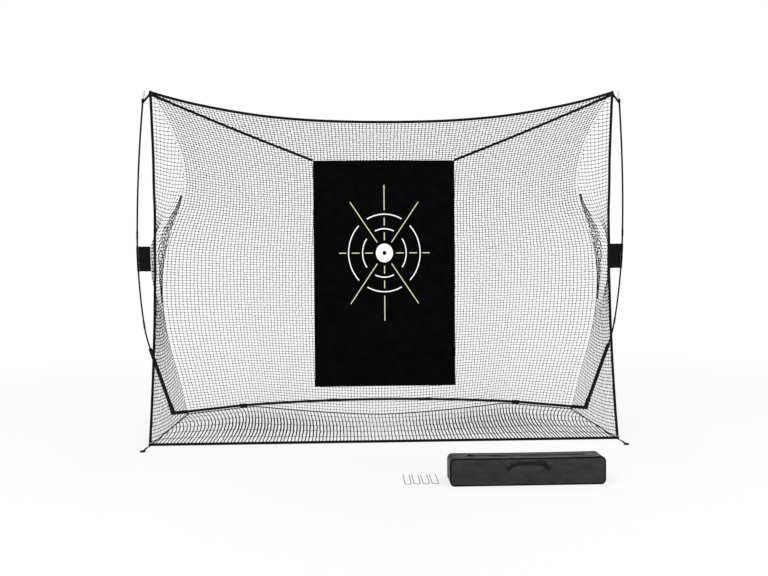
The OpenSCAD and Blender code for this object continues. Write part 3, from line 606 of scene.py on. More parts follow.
@dataclass(frozen=True)
class Woven(Finish):
    """Woven threads, on the piece's own map in metres.

    Attributes:
        warp: Spacing of the threads that run along the piece.
        weft: Spacing of the threads that cross it.
        twill: How far each weft step shifts the warp, as a share of its spacing.
        fuzz: Sheen of the loose fibres.
        fade_and_highlight_size: Size of the patches where the colour is paler: fade on most
            cloths, and on the bag, whose creases rise with them, a painted highlight on each
            fold.
        drawn: How much longer the patches are along X.
    """

    warp: float = 0.002
    weft: float = 0.002
    twill: float = 0.5
    fuzz: float = 0.2
    fade_and_highlight_size: float = 0.05
    drawn: float = 1.0

    def fading(self, tree: bpy.types.NodeTree, place: Any) -> Any:
        """Soft patches from 0 to 1, drawn out along X, where the colour is paler; on the bag
        they are painted highlights on the crests of its creases.
        """
        drawn = add_node(
            tree,
            "Mapping",
            {"Vector": place.outputs["Object"], "Scale": (1 / self.drawn, 1.0, 1.0)},
        )
        patches = self.noise(tree, drawn.outputs[0], self.fade_and_highlight_size, 4.0)
        return add_node(tree, "MapRange", {"Value": patches, 1: 0.35, 2: 0.65}).outputs[0]

    def threads(self, tree: bpy.types.NodeTree, place: Any) -> Any:
        """Height of the weave: crests where warp and weft pass over one another.

        The weft wave is sin(v), the warp wave is sin(u + twill * v), and the weave is the
        half sum of their product and 1.
        """
        across, along = map_axes(tree, place)
        u = sums(tree, "MULTIPLY", across, 2 * math.pi / self.warp)
        v = sums(tree, "MULTIPLY", along, 2 * math.pi / self.weft)
        slanted = sums(tree, "ADD", u, sums(tree, "MULTIPLY", v, self.twill))
        product = sums(tree, "MULTIPLY", sums(tree, "SINE", slanted), sums(tree, "SINE", v))
        return sums(tree, "MULTIPLY_ADD", product, 0.5, 0.5)

    def dress(self, tree: bpy.types.NodeTree, shader: Any, place: Any) -> None:
        """The weave in relief and colour, with slow pale patches over the cloth, which on the
        bag are painted highlights on its folds.
        """
        shader.inputs["Sheen Weight"].default_value = self.fuzz
        shader.inputs["Sheen Roughness"].default_value = 0.5
        weave = self.threads(tree, place)
        # Pale patches: fade on most cloths, and painted highlights on the bag, whose creases
        # rise with them.
        fade_and_highlight_tone = self.fading(tree, place)
        amount = sums(tree, "MULTIPLY_ADD", fade_and_highlight_tone, 0.6, sums(tree, "MULTIPLY", weave, 0.4))
        self.shade(tree, shader, amount)
        self.emboss(tree, shader, weave)


@dataclass(frozen=True)
class Creased(Woven):
    """Coated cloth that keeps the creases of its folding, with a painted highlight on each
    crease's crest.

    Attributes:
        crease: Height of the creases.
    """

    crease: float = 0.004

    def dress(self, tree: bpy.types.NodeTree, shader: Any, place: Any) -> None:
        """The weave over creases that rise with the pale patches, so that each crest is painted
        paler: a painted highlight.
        """
        super().dress(tree, shader, place)
        weave = shader.inputs["Normal"].links[0].from_node
        # The creases rise with the patches that pale the colour, which paints a highlight on
        # each crease's crest.
        creases = add_node(
            tree,
            "Bump",
            {"Height": self.fading(tree, place), "Distance": self.crease, "Strength": 1.0},
        )
        tree.links.new(creases.outputs[0], weave.inputs["Normal"])


@dataclass(frozen=True)
class Stitched(Woven):
    """Webbing with a line of stitches along each edge.

    Attributes:
        stitch: Length of one stitch with its gap.
        inset: Distance of the stitch line from the edge of the webbing.
        width: Full width of the webbing, whose map starts at one edge.
        thread: Half the width of the stitch line.
        gap: Level of the stitch wave, from -1 to 1, under which no thread lies.
        press: Depth of a stitch, in heights of the weave.
    """

    stitch: float = 0.005
    inset: float = 0.0025
    width: float = 0.018
    thread: float = 0.0007
    gap: float = -0.2
    press: float = 2.0

    def dress(self, tree: bpy.types.NodeTree, shader: Any, place: Any) -> None:
        """The weave, pressed down under the stitches of the line along each edge."""
        super().dress(tree, shader, place)
        across, along = map_axes(tree, place)
        inward = sums(tree, "PINGPONG", across, self.width / 2)
        line = sums(tree, "COMPARE", inward, self.inset, self.thread)
        turns = sums(tree, "MULTIPLY", along, 2 * math.pi / self.stitch)
        sewn = sums(tree, "GREATER_THAN", sums(tree, "SINE", turns), self.gap)
        pressed = sums(tree, "MULTIPLY", sums(tree, "MULTIPLY", line, sewn), self.press)
        bump = shader.inputs["Normal"].links[0].from_node
        weave = bump.inputs["Height"].links[0].from_socket
        tree.links.new(sums(tree, "SUBTRACT", weave, pressed), bump.inputs["Height"])


@dataclass(frozen=True)
class Braided(Finish):
    """Braided cord: strands cross at a slant, on a map of around and along in metres.

    Attributes:
        strand: Width of a strand round the cord.
        lay: Distance along the cord in which a strand crosses it once.
    """

    strand: float = 0.002
    lay: float = 0.006

    def dress(self, tree: bpy.types.NodeTree, shader: Any, place: Any) -> None:
        """Two slanted waves that cross: the height is the larger of the two."""
        around, along = map_axes(tree, place)
        u = sums(tree, "MULTIPLY", around, 2 * math.pi / self.strand / 2)
        v = sums(tree, "MULTIPLY", along, 2 * math.pi / self.lay)
        one = sums(tree, "SINE", sums(tree, "ADD", u, v))
        two = sums(tree, "SINE", sums(tree, "SUBTRACT", u, v))
        height = sums(tree, "MULTIPLY_ADD", sums(tree, "MAXIMUM", one, two), 0.5, 0.5)
        self.shade(tree, shader, height)
        self.emboss(tree, shader, height)


@dataclass(frozen=True)
class Reticle:
    """The printed target, in metres from the middle of its disc.

    The four quarters of the print are the same, so it is worked out for positive x and z.
    """

    disc: tuple[float, float] = (0.0576, 0.063)
    dot: float = 0.013
    inner: tuple[float, float] = (0.147, 0.163)
    inner_gap: tuple[float, float] = (0.407, 0.888)
    outer: tuple[float, float] = (0.241, 0.261)
    outer_gap: tuple[float, float] = (0.468, 0.752)
    ring_width: float = 0.0072
    line_width: float = 0.0060
    upright: tuple[tuple[float, float], ...] = (
        (0.288, 0.457), (0.185, 0.238), (0.086, 0.139),
    )
    level: tuple[tuple[float, float], ...] = (
        (0.257, 0.305), (0.168, 0.220), (0.078, 0.130),
    )
    slant: tuple[float, float] = (0.557, 0.830)
    slant_span: tuple[float, float] = (0.086, 0.411)


@dataclass(frozen=True)
class PrintedCloth(Woven):
    """Woven polyester with a screen print in two inks.

    Attributes:
        middle: Map place of the middle of the print.
        marks: Sizes of the print.
        white: Ink of the rings and the disc.
        cream: Ink of the lines.
    """

    middle: tuple[float, float] = (0.475, 0.899)
    marks: Reticle = field(default_factory=Reticle)
    white: str = "#f6f6f4"
    cream: str = "#d9d8a6"

    def within(self, tree: bpy.types.NodeTree, value: Any, low: float, high: float) -> Any:
        """1 where value lies from low to high, and otherwise 0."""
        return sums(tree, "COMPARE", value, (low + high) / 2, (high - low) / 2)

    def far(
        self, tree: bpy.types.NodeTree, x: Any, z: Any, radii: tuple[float, float]
    ) -> bpy.types.NodeSocket:
        """The length of (x / radius, z / radius), which is 1 on the ellipse."""
        p = sums(tree, "DIVIDE", x, radii[0])
        q = sums(tree, "DIVIDE", z, radii[1])
        square = sums(tree, "MULTIPLY_ADD", p, p, sums(tree, "MULTIPLY", q, q))
        return sums(tree, "SQRT", square)

    def ring(
        self,
        tree: bpy.types.NodeTree,
        x: Any,
        z: Any,
        radii: tuple[float, float],
        gap: tuple[float, float],
    ) -> Any:
        """A ring that is broken between two angles from the upright, in radians."""
        half = self.marks.ring_width / (radii[0] + radii[1])
        on = self.within(tree, self.far(tree, x, z, radii), 1 - half, 1 + half)
        angle = sums(tree, "ARCTAN2", x, z)
        broken = sums(tree, "MULTIPLY", on, self.within(tree, angle, *gap))
        return sums(tree, "SUBTRACT", on, broken)

    def dress(self, tree: bpy.types.NodeTree, shader: Any, place: Any) -> None:
        """The weave, with the print over it."""
        super().dress(tree, shader, place)
        cloth = shader.inputs["Base Color"].links[0].from_socket
        m = self.marks
        x, z = (
            sums(tree, "ABSOLUTE", sums(tree, "SUBTRACT", axis, middle))
            for axis, middle in zip(map_axes(tree, place), self.middle)
        )
        disc = self.within(tree, self.far(tree, x, z, m.disc), m.dot / m.disc[0], 1.0)
        pairs = ((m.inner, m.inner_gap), (m.outer, m.outer_gap))
        rings = [self.ring(tree, x, z, *pair) for pair in pairs]
        white = sums(tree, "MAXIMUM", disc, sums(tree, "MAXIMUM", *rings))
        half = m.line_width / 2
        lines = []
        for axis, cross, spans in ((z, x, m.upright), (x, z, m.level)):
            on = self.within(tree, cross, -half, half)
            lines += [sums(tree, "MULTIPLY", on, self.within(tree, axis, *s)) for s in spans]
        dx, dz = m.slant
        along = sums(tree, "MULTIPLY_ADD", x, dx, sums(tree, "MULTIPLY", z, dz))
        cross = sums(tree, "MULTIPLY_ADD", x, dz, sums(tree, "MULTIPLY", z, -dx))
        on = self.within(tree, cross, -half, half)
        cream = sums(tree, "MULTIPLY", on, self.within(tree, along, *m.slant_span))
        for line in lines:
            cream = sums(tree, "MAXIMUM", cream, line)
        inked = cloth
        for mask, ink in ((cream, self.cream), (white, self.white)):
            inked = add_node(
                tree, "Mix", {0: mask, 6: inked, 7: linear(ink)}, data_type="RGBA"
            ).outputs[2]
        tree.links.new(inked, shader.inputs["Base Color"])


# Twisted polyethylene twine: dull black, and lighter where the strands catch the light
TWINE = Finish(
    "Twisted black twine", "net_twine", "#060607", 0.8, gloss=0.08, grain=0.004, relief=0.0003,
    spread=0.5,
)
# Flat woven polypropylene webbing; its ribs are drawn coarser than 1 mm so that they show
WEBBING = Stitched(
    "Black polypropylene webbing", "webbing", "#040405", 0.8, gloss=0.08, relief=0.0003,
    spread=0.4, warp=0.003, weft=0.003, fuzz=0.03,
)
# Braided polyester cord in the seams of the net
CORD = Braided(
    "Braided black cord", "webbing", "#060607", 0.8, gloss=0.1, relief=0.0004, spread=0.4
)
# Closely woven polyester that ripples little and shines hardly at all
TARGET_CLOTH = PrintedCloth(
    "Printed black target cloth", "target_fabric", "#020203", 0.9, gloss=0.02, relief=0.0001,
    spread=0.2, warp=0.003, weft=0.003, twill=0.0, fuzz=0.0,
)
# Fabric of the pole tabs, with a soft woven face
TAB_CLOTH = Stitched(
    "Black tab fabric", "tab_fabric", "#09090a", 0.8, gloss=0.1, relief=0.0003, spread=0.4,
    warp=0.003, weft=0.003, fuzz=0.03, width=0.084,
)
# Coated oxford cloth: charcoal threads over a dull backing, with a painted highlight on each
# fold, where the colour is paler on the crease's crest
BAG_CLOTH = Creased(
    "Charcoal oxford cloth", "bag_fabric", "#161617", 0.55, gloss=0.3, relief=0.0003,
    spread=0.85, warp=0.004, weft=0.004, twill=0.0, fuzz=0.05, fade_and_highlight_size=0.04, drawn=2.5,
)
# The bag's grips, of a softer webbing that dust has greyed a little
GRIP_WEBBING = Stitched(
    "Soft black webbing", "webbing", "#0e0e10", 0.8, gloss=0.12, relief=0.0003, spread=0.4,
    warp=0.003, weft=0.003, fuzz=0.05,
)
# Piping cord in a sleeve of the same cloth's black edging
PIPING = Braided(
    "Black piping", "webbing", "#030304", 0.7, gloss=0.08, relief=0.0002, spread=0.3
)
# Powder coat on steel tube, satin black
POWDER_COAT = CoatedMetal(
    "Satin black powder coat", "powder_coat", "#050506", 0.5, gloss=0.15, grain=0.0016,
    relief=0.00006, spread=0.4, coat=0.02,
)
# Injection-moulded nylon, finely grained by its mould
NYLON = Finish(
    "Black moulded nylon", "black_nylon", "#060607", 0.55, gloss=0.15, grain=0.0012,
    relief=0.00008, spread=0.3,
)
# Pultruded glass-fibre rod under thin black paint
FIBREGLASS = DrawnRod(
    "Black painted fibreglass", "fibreglass", "#040405", 0.5, gloss=0.12, grain=0.0012,
    relief=0.00004, spread=0.4,
)
# Soft vinyl that the cap was dipped in, off-white and a little see-through when new
VINYL = Finish(
    "Pale dipped vinyl", "pale_vinyl", "#dcdcd8", 0.45, grain=0.003, relief=0.0001, spread=0.06
)
# Zinc plate on small steel parts: bright, with the faint mottling of a plating bath
ZINC = PlatedMetal(
    "Bright zinc plate", "zinc", "#a9abad", 0.38, 1.0, grain=0.0015, relief=0.00004,
    spread=0.2, spangle=0.004,
)
# Steel sleeve with a thin black oxide that the metal shines through
FERRULE = PlatedMetal(
    "Blackened steel ferrule", "ferrule_steel", "#141416", 0.45, 0.5, grain=0.001,
    relief=0.00004, spread=0.3, spangle=0.003,
)
# Hot-dipped wire: dull grey with flat crystals
GALVANISED = PlatedMetal(
    "Galvanised wire", "galvanised", "#8f9192", 0.5, 1.0, grain=0.002, relief=0.0001, spread=0.25
)
# Woven tape of the zip
ZIP_TAPE = Woven(
    "Black zip tape", "zip_tape", "#0b0b0c", 0.7, gloss=0.2, relief=0.0002, spread=0.3,
    warp=0.0015, weft=0.0015, twill=0.0, fuzz=0.05,
)
# Zinc casting under black enamel, rubbed to a dull shine
ZIP_METAL = Finish(
    "Black enamelled zip metal", "zip_metal", "#2c2d2f", 0.35, 0.8, grain=0.001, relief=0.00003,
    spread=0.2,
)


# ---- shapes that several pieces share ----


@dataclass(frozen=True)
class PoleShape:
    """Centre lines of the arm, the socket tube and the bowed pole, on the right."""

    hinge: tuple[float, float, float] = (1.180, 1.410, 0.014)
    arm_length: float = 0.515
    arm_angle: float = math.radians(32.3)
    bracket_reach: float = 0.075
    elbow_lift: float = 0.016
    socket_start: float = 0.008
    socket_length: float = 0.572
    socket_turn: float = math.radians(64.3)
    socket_rise: float = math.radians(64.5)
    corner_reach: tuple[float, float, float] = (0.05294, 0.0233, -0.01981)
    sections: tuple[float, ...] = (0.212, 0.740, 1.011)
    bends: tuple[float, ...] = (math.radians(10.65), math.radians(8.16), math.radians(4.93))
    radius: float = 0.006
    tab_length: float = 0.200
    tab_below_joint: float = 0.088

    @property
    def arm_way(self) -> np.ndarray:
        """Direction of the arm tube, away from its hinge."""
        return np.array([math.cos(self.arm_angle), -math.sin(self.arm_angle), 0.0])

    @property
    def socket_way(self) -> np.ndarray:
        """Direction of the socket tube, upwards."""
        flat = math.cos(self.socket_rise)
        return np.array(
            [
                flat * math.cos(self.socket_turn),
                -flat * math.sin(self.socket_turn),
                math.sin(self.socket_rise),
            ]
        )

    @property
    def mouth(self) -> np.ndarray:
        """Upper end of the socket tube."""
        out = (self.arm_length + self.bracket_reach) * self.arm_way
        elbow = np.array(self.hinge) + out + np.array([0, 0, self.elbow_lift])
        return elbow + (self.socket_start + self.socket_length) * self.socket_way

    def line(self, corner: np.ndarray, along: np.ndarray) -> tuple[np.ndarray, np.ndarray]:
        """Places on the pole above its socket.

        Each section is an arc in the plane of the socket and the net's corner: from heading h
        an arc of radius r and turn a ends r(sin(h+a) - sin h) further along the socket's
        direction and r(cos h - cos(h+a)) further across it.

        Args:
            corner: Top corner of the net.
            along: Distances along the pole from the socket's mouth.

        Returns:
            The points and the directions there.
        """
        reach = corner + np.array(self.corner_reach) - self.mouth
        ahead = self.socket_way
        across = unit(reach - reach @ ahead * ahead)
        x, y, heading, start = 0.0, 0.0, 0.0, 0.0
        flat = np.zeros((len(along), 3))
        for length, bend in zip(self.sections, self.bends):
            r = length / bend
            turn = np.clip((along - start) / length, 0, None) * bend
            inside = along >= start
            place = np.stack(
                [
                    x + r * (np.sin(heading + turn) - math.sin(heading)),
                    y + r * (math.cos(heading) - np.cos(heading + turn)),
                    heading + turn,
                ],
                -1,
            )
            flat[inside] = place[inside]
            x += r * (math.sin(heading + bend) - math.sin(heading))
            y += r * (math.cos(heading) - math.cos(heading + bend))
            heading += bend
            start += length
        points = self.mouth + flat[:, :1] * ahead + flat[:, 1:2] * across
        ways = np.cos(flat[:, 2:]) * ahead + np.sin(flat[:, 2:]) * across
        return points, ways

    def tab_heights(self, corner: np.ndarray) -> tuple[float, float]:
        """Heights of the pole tab's lower and upper edge, below the pole's upper joint."""
        top = self.sections[0] + self.sections[1] - self.tab_below_joint
        points, _ = self.line(corner, np.array([top - self.tab_length, top]))
        return float(points[0, 2]), float(points[1, 2])


@dataclass(frozen=True)
class NetShape:
    """The surfaces and edges of the net, in metres, on the right.

    The seam and the back start head below the top edge. The seam ends seam_foot over half
    the floor cord, and the back ends back_foot over the whole of it.
    """

    half_top: float = 1.525
    half_floor: float = 1.560
    corner_height: float = 2.322
    top_sag: float = 0.195
    top_power: float = 2.4
    rear_corner: tuple[float, float] = (1.558, 1.106)
    rear_mid: float = 0.985
    rear_rise: float = 0.335
    rear_spread: float = 0.900
    rear_blend: float = 0.030
    arm_slope: float = math.tan(math.radians(32.3))
    side_bow: float = 0.120
    seam_draw: float = 0.090
    belly_y: float = 0.620
    belly_z: float = 1.450
    back_front: float = 0.003
    cord: float = 0.006
    webbing: float = 0.018
    webbing_t: float = 0.002
    tab_reach: float = 0.092
    tab_fade: float = 0.330
    head: float = 0.004
    seam_foot: float = 0.002
    back_foot: float = 0.001
    slack_at: tuple[float, ...] = (0.0, 0.15, 0.33, 0.44, 0.56, 0.67, 0.78, 0.89, 1.0)
    slack_by: tuple[float, ...] = (0.0, -0.045, -0.040, 0.035, 0.068, 0.072, 0.052, 0.018, 0.0)

    @property
    def corner(self) -> np.ndarray:
        """Top corner of the net."""
        return np.array([self.half_top, 0.0, self.corner_height])

    def top_z(self, s: np.ndarray) -> np.ndarray:
        """Height of the top edge at share s of its half length."""
        return self.corner_height - self.top_sag * (1 - np.abs(s) ** self.top_power)

    def rear_y(self, x: np.ndarray) -> np.ndarray:
        """Depth of the rear floor edge: the smooth least of a curve and the arm's line."""
        x = np.abs(x)
        middle = self.rear_mid + self.rear_rise * (x / self.rear_spread) ** 1.5
        arm = self.rear_corner[1] + self.arm_slope * (self.rear_corner[0] - x)
        b = self.rear_blend
        return -b * np.log(np.exp(-middle / b) + np.exp(-arm / b))

    def bow(self, a: float, b: float, c: Any, v: np.ndarray) -> np.ndarray:
        """A parabola from a to c that b draws out: a(1-v)^2 + 2bv(1-v) + cv^2."""
        return a * (1 - v) ** 2 + 2 * b * v * (1 - v) + c * v**2

    def seam_x(self, v: np.ndarray) -> np.ndarray:
        """Distance of the seam from the middle: drawn in above and out a little below."""
        straight = self.half_top + (self.rear_corner[0] - self.half_top) * v
        return straight - self.seam_draw * np.sin(2 * np.pi * v) * np.where(v < 0.5, 1, 0.5)

    def slack(self, v: np.ndarray) -> np.ndarray:
        """How far loose netting lets the seam stray outwards, by a smooth curve through points.

        Between two points it is the cubic that has their heights and their mean slopes.
        """
        at, high = np.array(self.slack_at), np.array(self.slack_by)
        slope = np.gradient(high, at)
        k = np.clip(np.searchsorted(at, v, side="right") - 1, 0, len(at) - 2)
        span = at[k + 1] - at[k]
        u = np.clip((v - at[k]) / span, 0, 1)
        return (
            high[k] * (2 * u**3 - 3 * u**2 + 1)
            + high[k + 1] * (3 * u**2 - 2 * u**3)
            + slope[k] * span * (u**3 - 2 * u**2 + u)
            + slope[k + 1] * span * (u**3 - u**2)
        )

    def sewn(self, v: np.ndarray) -> np.ndarray:
        """The seam as it is cut, from the top corner at v = 0 to the floor at v = 1."""
        y = self.bow(0.0, self.belly_y, self.rear_corner[1], v)
        foot = self.cord / 2 + self.seam_foot
        z = self.bow(self.corner_height - self.head, self.belly_z, foot, v)
        return np.stack([self.seam_x(v), y, z], -1)

    def seam(self, v: np.ndarray) -> np.ndarray:
        """The seam as it hangs, strayed by the slack."""
        return self.sewn(v) + self.slack(v)[..., None] * np.array([1.0, 0.0, 0.0])

    def seam_share(self, z: np.ndarray) -> np.ndarray:
        """Share v of the seam at height z, read back from the seam's own curve."""
        v = np.linspace(0, 1, 600)
        return np.interp(-z, -self.seam(v)[:, 2], v)

    def back(self, s: np.ndarray, v: np.ndarray) -> np.ndarray:
        """The back: s from 0 in the middle to 1 at the seam, v from the top to the floor."""
        x = s * (self.seam_x(v) - self.cord / 2) + s**4 * self.slack(v)
        foot = self.rear_y(s * self.rear_corner[0])
        y = self.bow(self.back_front, self.belly_y, foot, v)
        z = self.bow(self.top_z(s) - self.head, self.belly_z, self.cord + self.back_foot, v)
        return np.stack([x, y, z], -1)

    def front(self, z: np.ndarray) -> np.ndarray:
        """The front side edge at height z, which bows backwards at half height."""
        t = 1 - z / self.corner_height
        x = self.half_top + (self.half_floor - self.half_top) * t
        return np.stack([x, self.side_bow * 4 * t * (1 - t), z], -1)


NET = NetShape()
POLE = PoleShape()
TAB_LOW, TAB_HIGH = POLE.tab_heights(NET.corner)


def pole_at_height(z: np.ndarray) -> np.ndarray:
    """Points on the pole's centre line at height z."""
    points, _ = POLE.line(NET.corner, np.linspace(0, sum(POLE.sections), 800))
    return np.stack([np.interp(z, points[:, 2], points[:, k]) for k in range(3)], -1)


def tab_hold(z: np.ndarray) -> np.ndarray:
    """Where the pole tab holds the side net, at height z."""
    pole = pole_at_height(z)
    return pole + NET.tab_reach * unit(NET.sewn(NET.seam_share(z)) - pole)


def blended(made: bpy.types.Object, side: Side, start: np.ndarray, end: np.ndarray) -> None:
    """Bakes a piece's placement into its mesh; it does not bend the piece from the fixed base to
    an arm.

    Args:
        made: The finished piece.
        side: The arm it would follow; not used.
        start: Where it would start to follow, on the right; not used.
        end: Where it would follow wholly, on the right; not used.
    """
    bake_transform(made)


# How the net would give as an arm folds, as spans that blended() takes but does not use: the
# back and top along X, the floor from its staked front edge to its rear corners, and the sides
# from their staked front corners
ACROSS = (np.array([0.113, 0.0, 0.0]), np.array([1.447, 0.0, 0.0]))
FLOOR_WAY = (np.array([0.636, 0.7666, 0.0]), np.array([1.1796, 1.4218, 0.0]))
SIDE_WAY = (np.array([1.56, 0.01, 0.0]), np.array([1.56, 0.452, 0.537]))
# The target's straps, along X, from near the sheet to near the net's top corner
STRAP_WAY = (np.array([0.50, 0.0, 0.0]), np.array([1.31, 0.0, 0.0]))


@dataclass
class Netting:
    """The knotted net: back, sides and floor.

    Attributes:
        mesh: Distance between knots.
        twine: Radius of the twine, thicker than the real one so that it shows.
        knot: Radius of a knot, larger than the real one so that it shows.
        uneven: How far the netting billows.
        stray: How far a knot strays from its place.
        side_mesh: Distance between the upright twines of the sides, which hang drawn out.
        droop: How far the rows of a side fall towards its seam near the floor.
        sag: Share of its length that a side's row sags.
        pleat: Distance between the twines where a pole tab gathers the net.
        tangle: How far a knot strays where the net is gathered.
        floor_fan: How much wider the floor's columns stand at the rear, as a share.
        floor_bow: How far they bow towards the middle.
        floor_beside: How far the floor's upper layer lies beside the lower one.
        floor_lap: How far the floor net keeps inside its front and side edges.
        flat: Height of a knot's half as a share of its radius.
        rows: Rows of the back.
        floor_rows: Rows of the floor.
        floor_tied: One in so many rows of the floor is tied across.
        low: Height of the lowest knots of a side.
        gathered: Shares of the seam between which the net is gathered in pleats.
        fullest: Share of the seam at which the gathered band is widest.
        full_span: Share of the seam in which it narrows.
        pleats: Number of twines in the gathered band.
        side_weights: Sizes of a side's twines ahead, twines along and knots, as net() has it.
        floor_weights: The same for the floor's lower and upper layer.
        gather_weights: The same for the gathered band.
    """

    mesh: float = 0.0235
    twine: float = 0.0015
    knot: float = 0.0059
    uneven: float = 0.006
    stray: float = 0.0012
    side_mesh: float = 0.030
    droop: float = 0.02
    sag: float = 0.035
    pleat: float = 0.011
    tangle: float = 0.004
    floor_fan: float = 0.17
    floor_bow: float = 0.07
    floor_beside: float = 0.0055
    floor_lap: float = 0.003
    flat: float = 0.7
    rows: int = 120
    floor_rows: int = 18
    floor_tied: int = 3
    low: float = 0.004
    gathered: tuple[float, float] = (0.33, 0.66)
    fullest: float = 0.47
    full_span: float = 0.11
    pleats: int = 6
    side_weights: tuple[float, float, float] = (1.2, 0.65, 0.9)
    floor_weights: tuple[tuple[float, float, float], ...] = ((0.7, 1.9, 0.75), (0.6, 1.9, 0.75))
    gather_weights: tuple[float, float, float] = (1.0, 1.1, 0.9)

    def net(
        self,
        shell: Shell,
        grid: np.ndarray,
        ahead: np.ndarray,
        along: np.ndarray,
        weights: tuple[float, float, float] = (1.0, 1.0, 1.0),
    ) -> None:
        """Ties a net over a grid of knots.

        Args:
            shell: Takes the net.
            grid: Knots, rows x columns x 3, on the right.
            ahead: True where a knot is tied to the one in the next column.
            along: True where a knot is tied to the one in the next row.
            weights: Thickness of the twines ahead, of the twines along and of the knots.
        """
        rng = np.random.default_rng(SEED + grid.size)
        stray = rng.normal(0, self.stray, grid.shape)
        stray[[0, -1]] = 0
        stray[:, [0, -1]] = 0
        grid = grid + stray
        grid[..., 2] = np.maximum(grid[..., 2], self.knot * self.flat)
        shell.twines(grid[:, :-1][ahead], grid[:, 1:][ahead], self.twine * weights[0])
        shell.twines(grid[:-1][along], grid[1:][along], self.twine * weights[1])
        out = unit(np.cross(np.gradient(grid, axis=1), np.gradient(grid, axis=0)))
        tied = np.zeros(grid.shape[:2], bool)
        tied[:, :-1] |= ahead
        tied[:-1] |= along
        knot = self.knot * weights[2]
        shell.knots(grid[tied], knot, knot * self.flat, out[tied])

    def back(self, side: Side) -> bpy.types.Object:
        """Half of the back, from the middle to the seam."""
        cols, rows = round(NET.half_top / self.mesh), self.rows
        s, v = np.meshgrid(np.linspace(0, 1, cols + 1), np.linspace(0, 1, rows + 1))
        grid = NET.back(s, v)
        hang = np.sin(np.pi * s) * np.sin(np.pi * v)
        grid[..., 1] += self.uneven * waves(s * 2, v * 3, seed=1) * hang
        along = np.ones((rows, cols + 1), bool)
        along[:, -1] = False
        along[:, : 0 if side is Side.RIGHT else 1] = False
        shell = Shell(side is Side.LEFT)
        self.net(shell, grid, np.ones((rows + 1, cols), bool), along)
        made = shell.piece(f"{side.label}_back_net", TWINE, rounded=False, weld=False)
        blended(made, side, *ACROSS)
        return made

    def side_grid(self) -> tuple[np.ndarray, np.ndarray]:
        """Knots of a side net, and the share of the way to the end of its row of each.

        A row starts at the front edge at height z and falls droop * (1 - (z / height)^2) on
        its way to the seam, with a slight sag. A row that meets the floor first ends at the
        floor edge. Columns stand one mesh apart along the rows. The tab draws the net out.
        """
        floor = self.low
        z = np.arange(floor, NET.corner_height - 0.016, self.mesh)
        front = NET.front(z) + np.array([0, NET.webbing_t, 0])
        low = z - self.droop * (1 - (z / NET.corner_height) ** 2)
        seam = NET.seam(NET.seam_share(np.maximum(low, floor)))
        reach = np.where(low < floor, (z - floor) / np.maximum(z - low, 1e-6), 1.0)
        end = seam.copy()
        end[:, 0] = np.where(low < floor, NET.half_floor, seam[:, 0])
        end[:, 1] = np.where(low < floor, reach * seam[:, 1], seam[:, 1])
        width = np.linalg.norm(end - front, axis=1)
        cols = int(width.max() / self.side_mesh) + 1
        share = np.minimum(
            np.arange(cols + 1) * self.side_mesh / np.maximum(width, 1e-6)[:, None], 1.0
        )
        grid = front[:, None] + share[..., None] * (end - front)[:, None]
        grid[..., 2] -= 4 * self.sag * width[:, None] * share * (1 - share)
        level = np.maximum(grid[..., 2], floor)
        near = np.clip(level, TAB_LOW, TAB_HIGH)
        seam_near = NET.seam(NET.seam_share(near))
        plain = seam_near + (NET.front(near) - seam_near) / 3
        fade = smooth(1 - np.abs(level - near) / NET.tab_fade)
        fore = NET.front(level)[..., 1]
        deep = np.maximum(NET.seam(NET.seam_share(level))[..., 1] - fore, 0.01)
        across = np.clip((grid[..., 1] - fore) / deep, 0, 1)
        draw = np.interp(across, [0, 1 / 3, 2 / 3, 1], [0, 0.35, 1, 0])
        grid += (draw * fade)[..., None] * (tab_hold(near) - plain)
        return grid, share

    def gather(self, shell: Shell, path: np.ndarray, wide: np.ndarray, twines: int) -> None:
        """Adds a band of netting in tight upright pleats.

        Twine k of a row lies (k - middle) * pleat * width across the path and swings half a
        pleat to either side of it.

        Args:
            shell: Takes the band.
            path: Middle of the band.
            wide: Width of the band at each point, where 1 is pleat * twines.
            twines: Number of twines across.
        """
        way = tangents(path)
        across = unit(np.cross(way, np.array([0.35, 0.94, 0.0])))
        out = np.cross(way, across)
        k = np.arange(twines) - (twines - 1) / 2
        swing = np.where(np.arange(twines) % 2, 1, -1) * self.pleat * 0.9
        grid = (
            path[:, None]
            + (k * self.pleat * wide[:, None])[..., None] * across[:, None]
            + (swing * wide[:, None])[..., None] * out[:, None]
        )
        tangle = np.random.default_rng(SEED).normal(0, self.tangle, grid.shape)
        grid = grid + tangle * wide[:, None, None]
        shape = grid.shape[:2]
        ahead = np.ones((shape[0], shape[1] - 1), bool)
        along = np.ones((shape[0] - 1, shape[1]), bool)
        self.net(shell, grid, ahead, along, self.gather_weights)

    def side(self, side: Side) -> bpy.types.Object:
        """One side of the net, from its front edge to the seam, and the band gathered there.

        The band's width is 0.04 + full, where full is exp(-((v - fullest) / span)^2).
        """
        grid, share = self.side_grid()
        shell = Shell(side is Side.LEFT)
        ahead = share[:, :-1] < 1
        along = (share[:-1] < 1) | (share[1:] < 1)
        self.net(shell, grid, ahead, along, self.side_weights)
        v = np.linspace(*self.gathered, 48)
        full = np.exp(-(((v - self.fullest) / self.full_span) ** 2))
        aside = np.stack([0.004 + 0.010 * full, -0.012 + 0 * v, 0 * v], -1)
        self.gather(shell, NET.seam(v) + aside, 0.04 + full, self.pleats)
        made = shell.piece(f"{side.label}_side_net", TWINE, rounded=False, weld=False)
        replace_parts(made, f"net_{side.label}_side")
        blended(made, side, *SIDE_WAY)
        return made

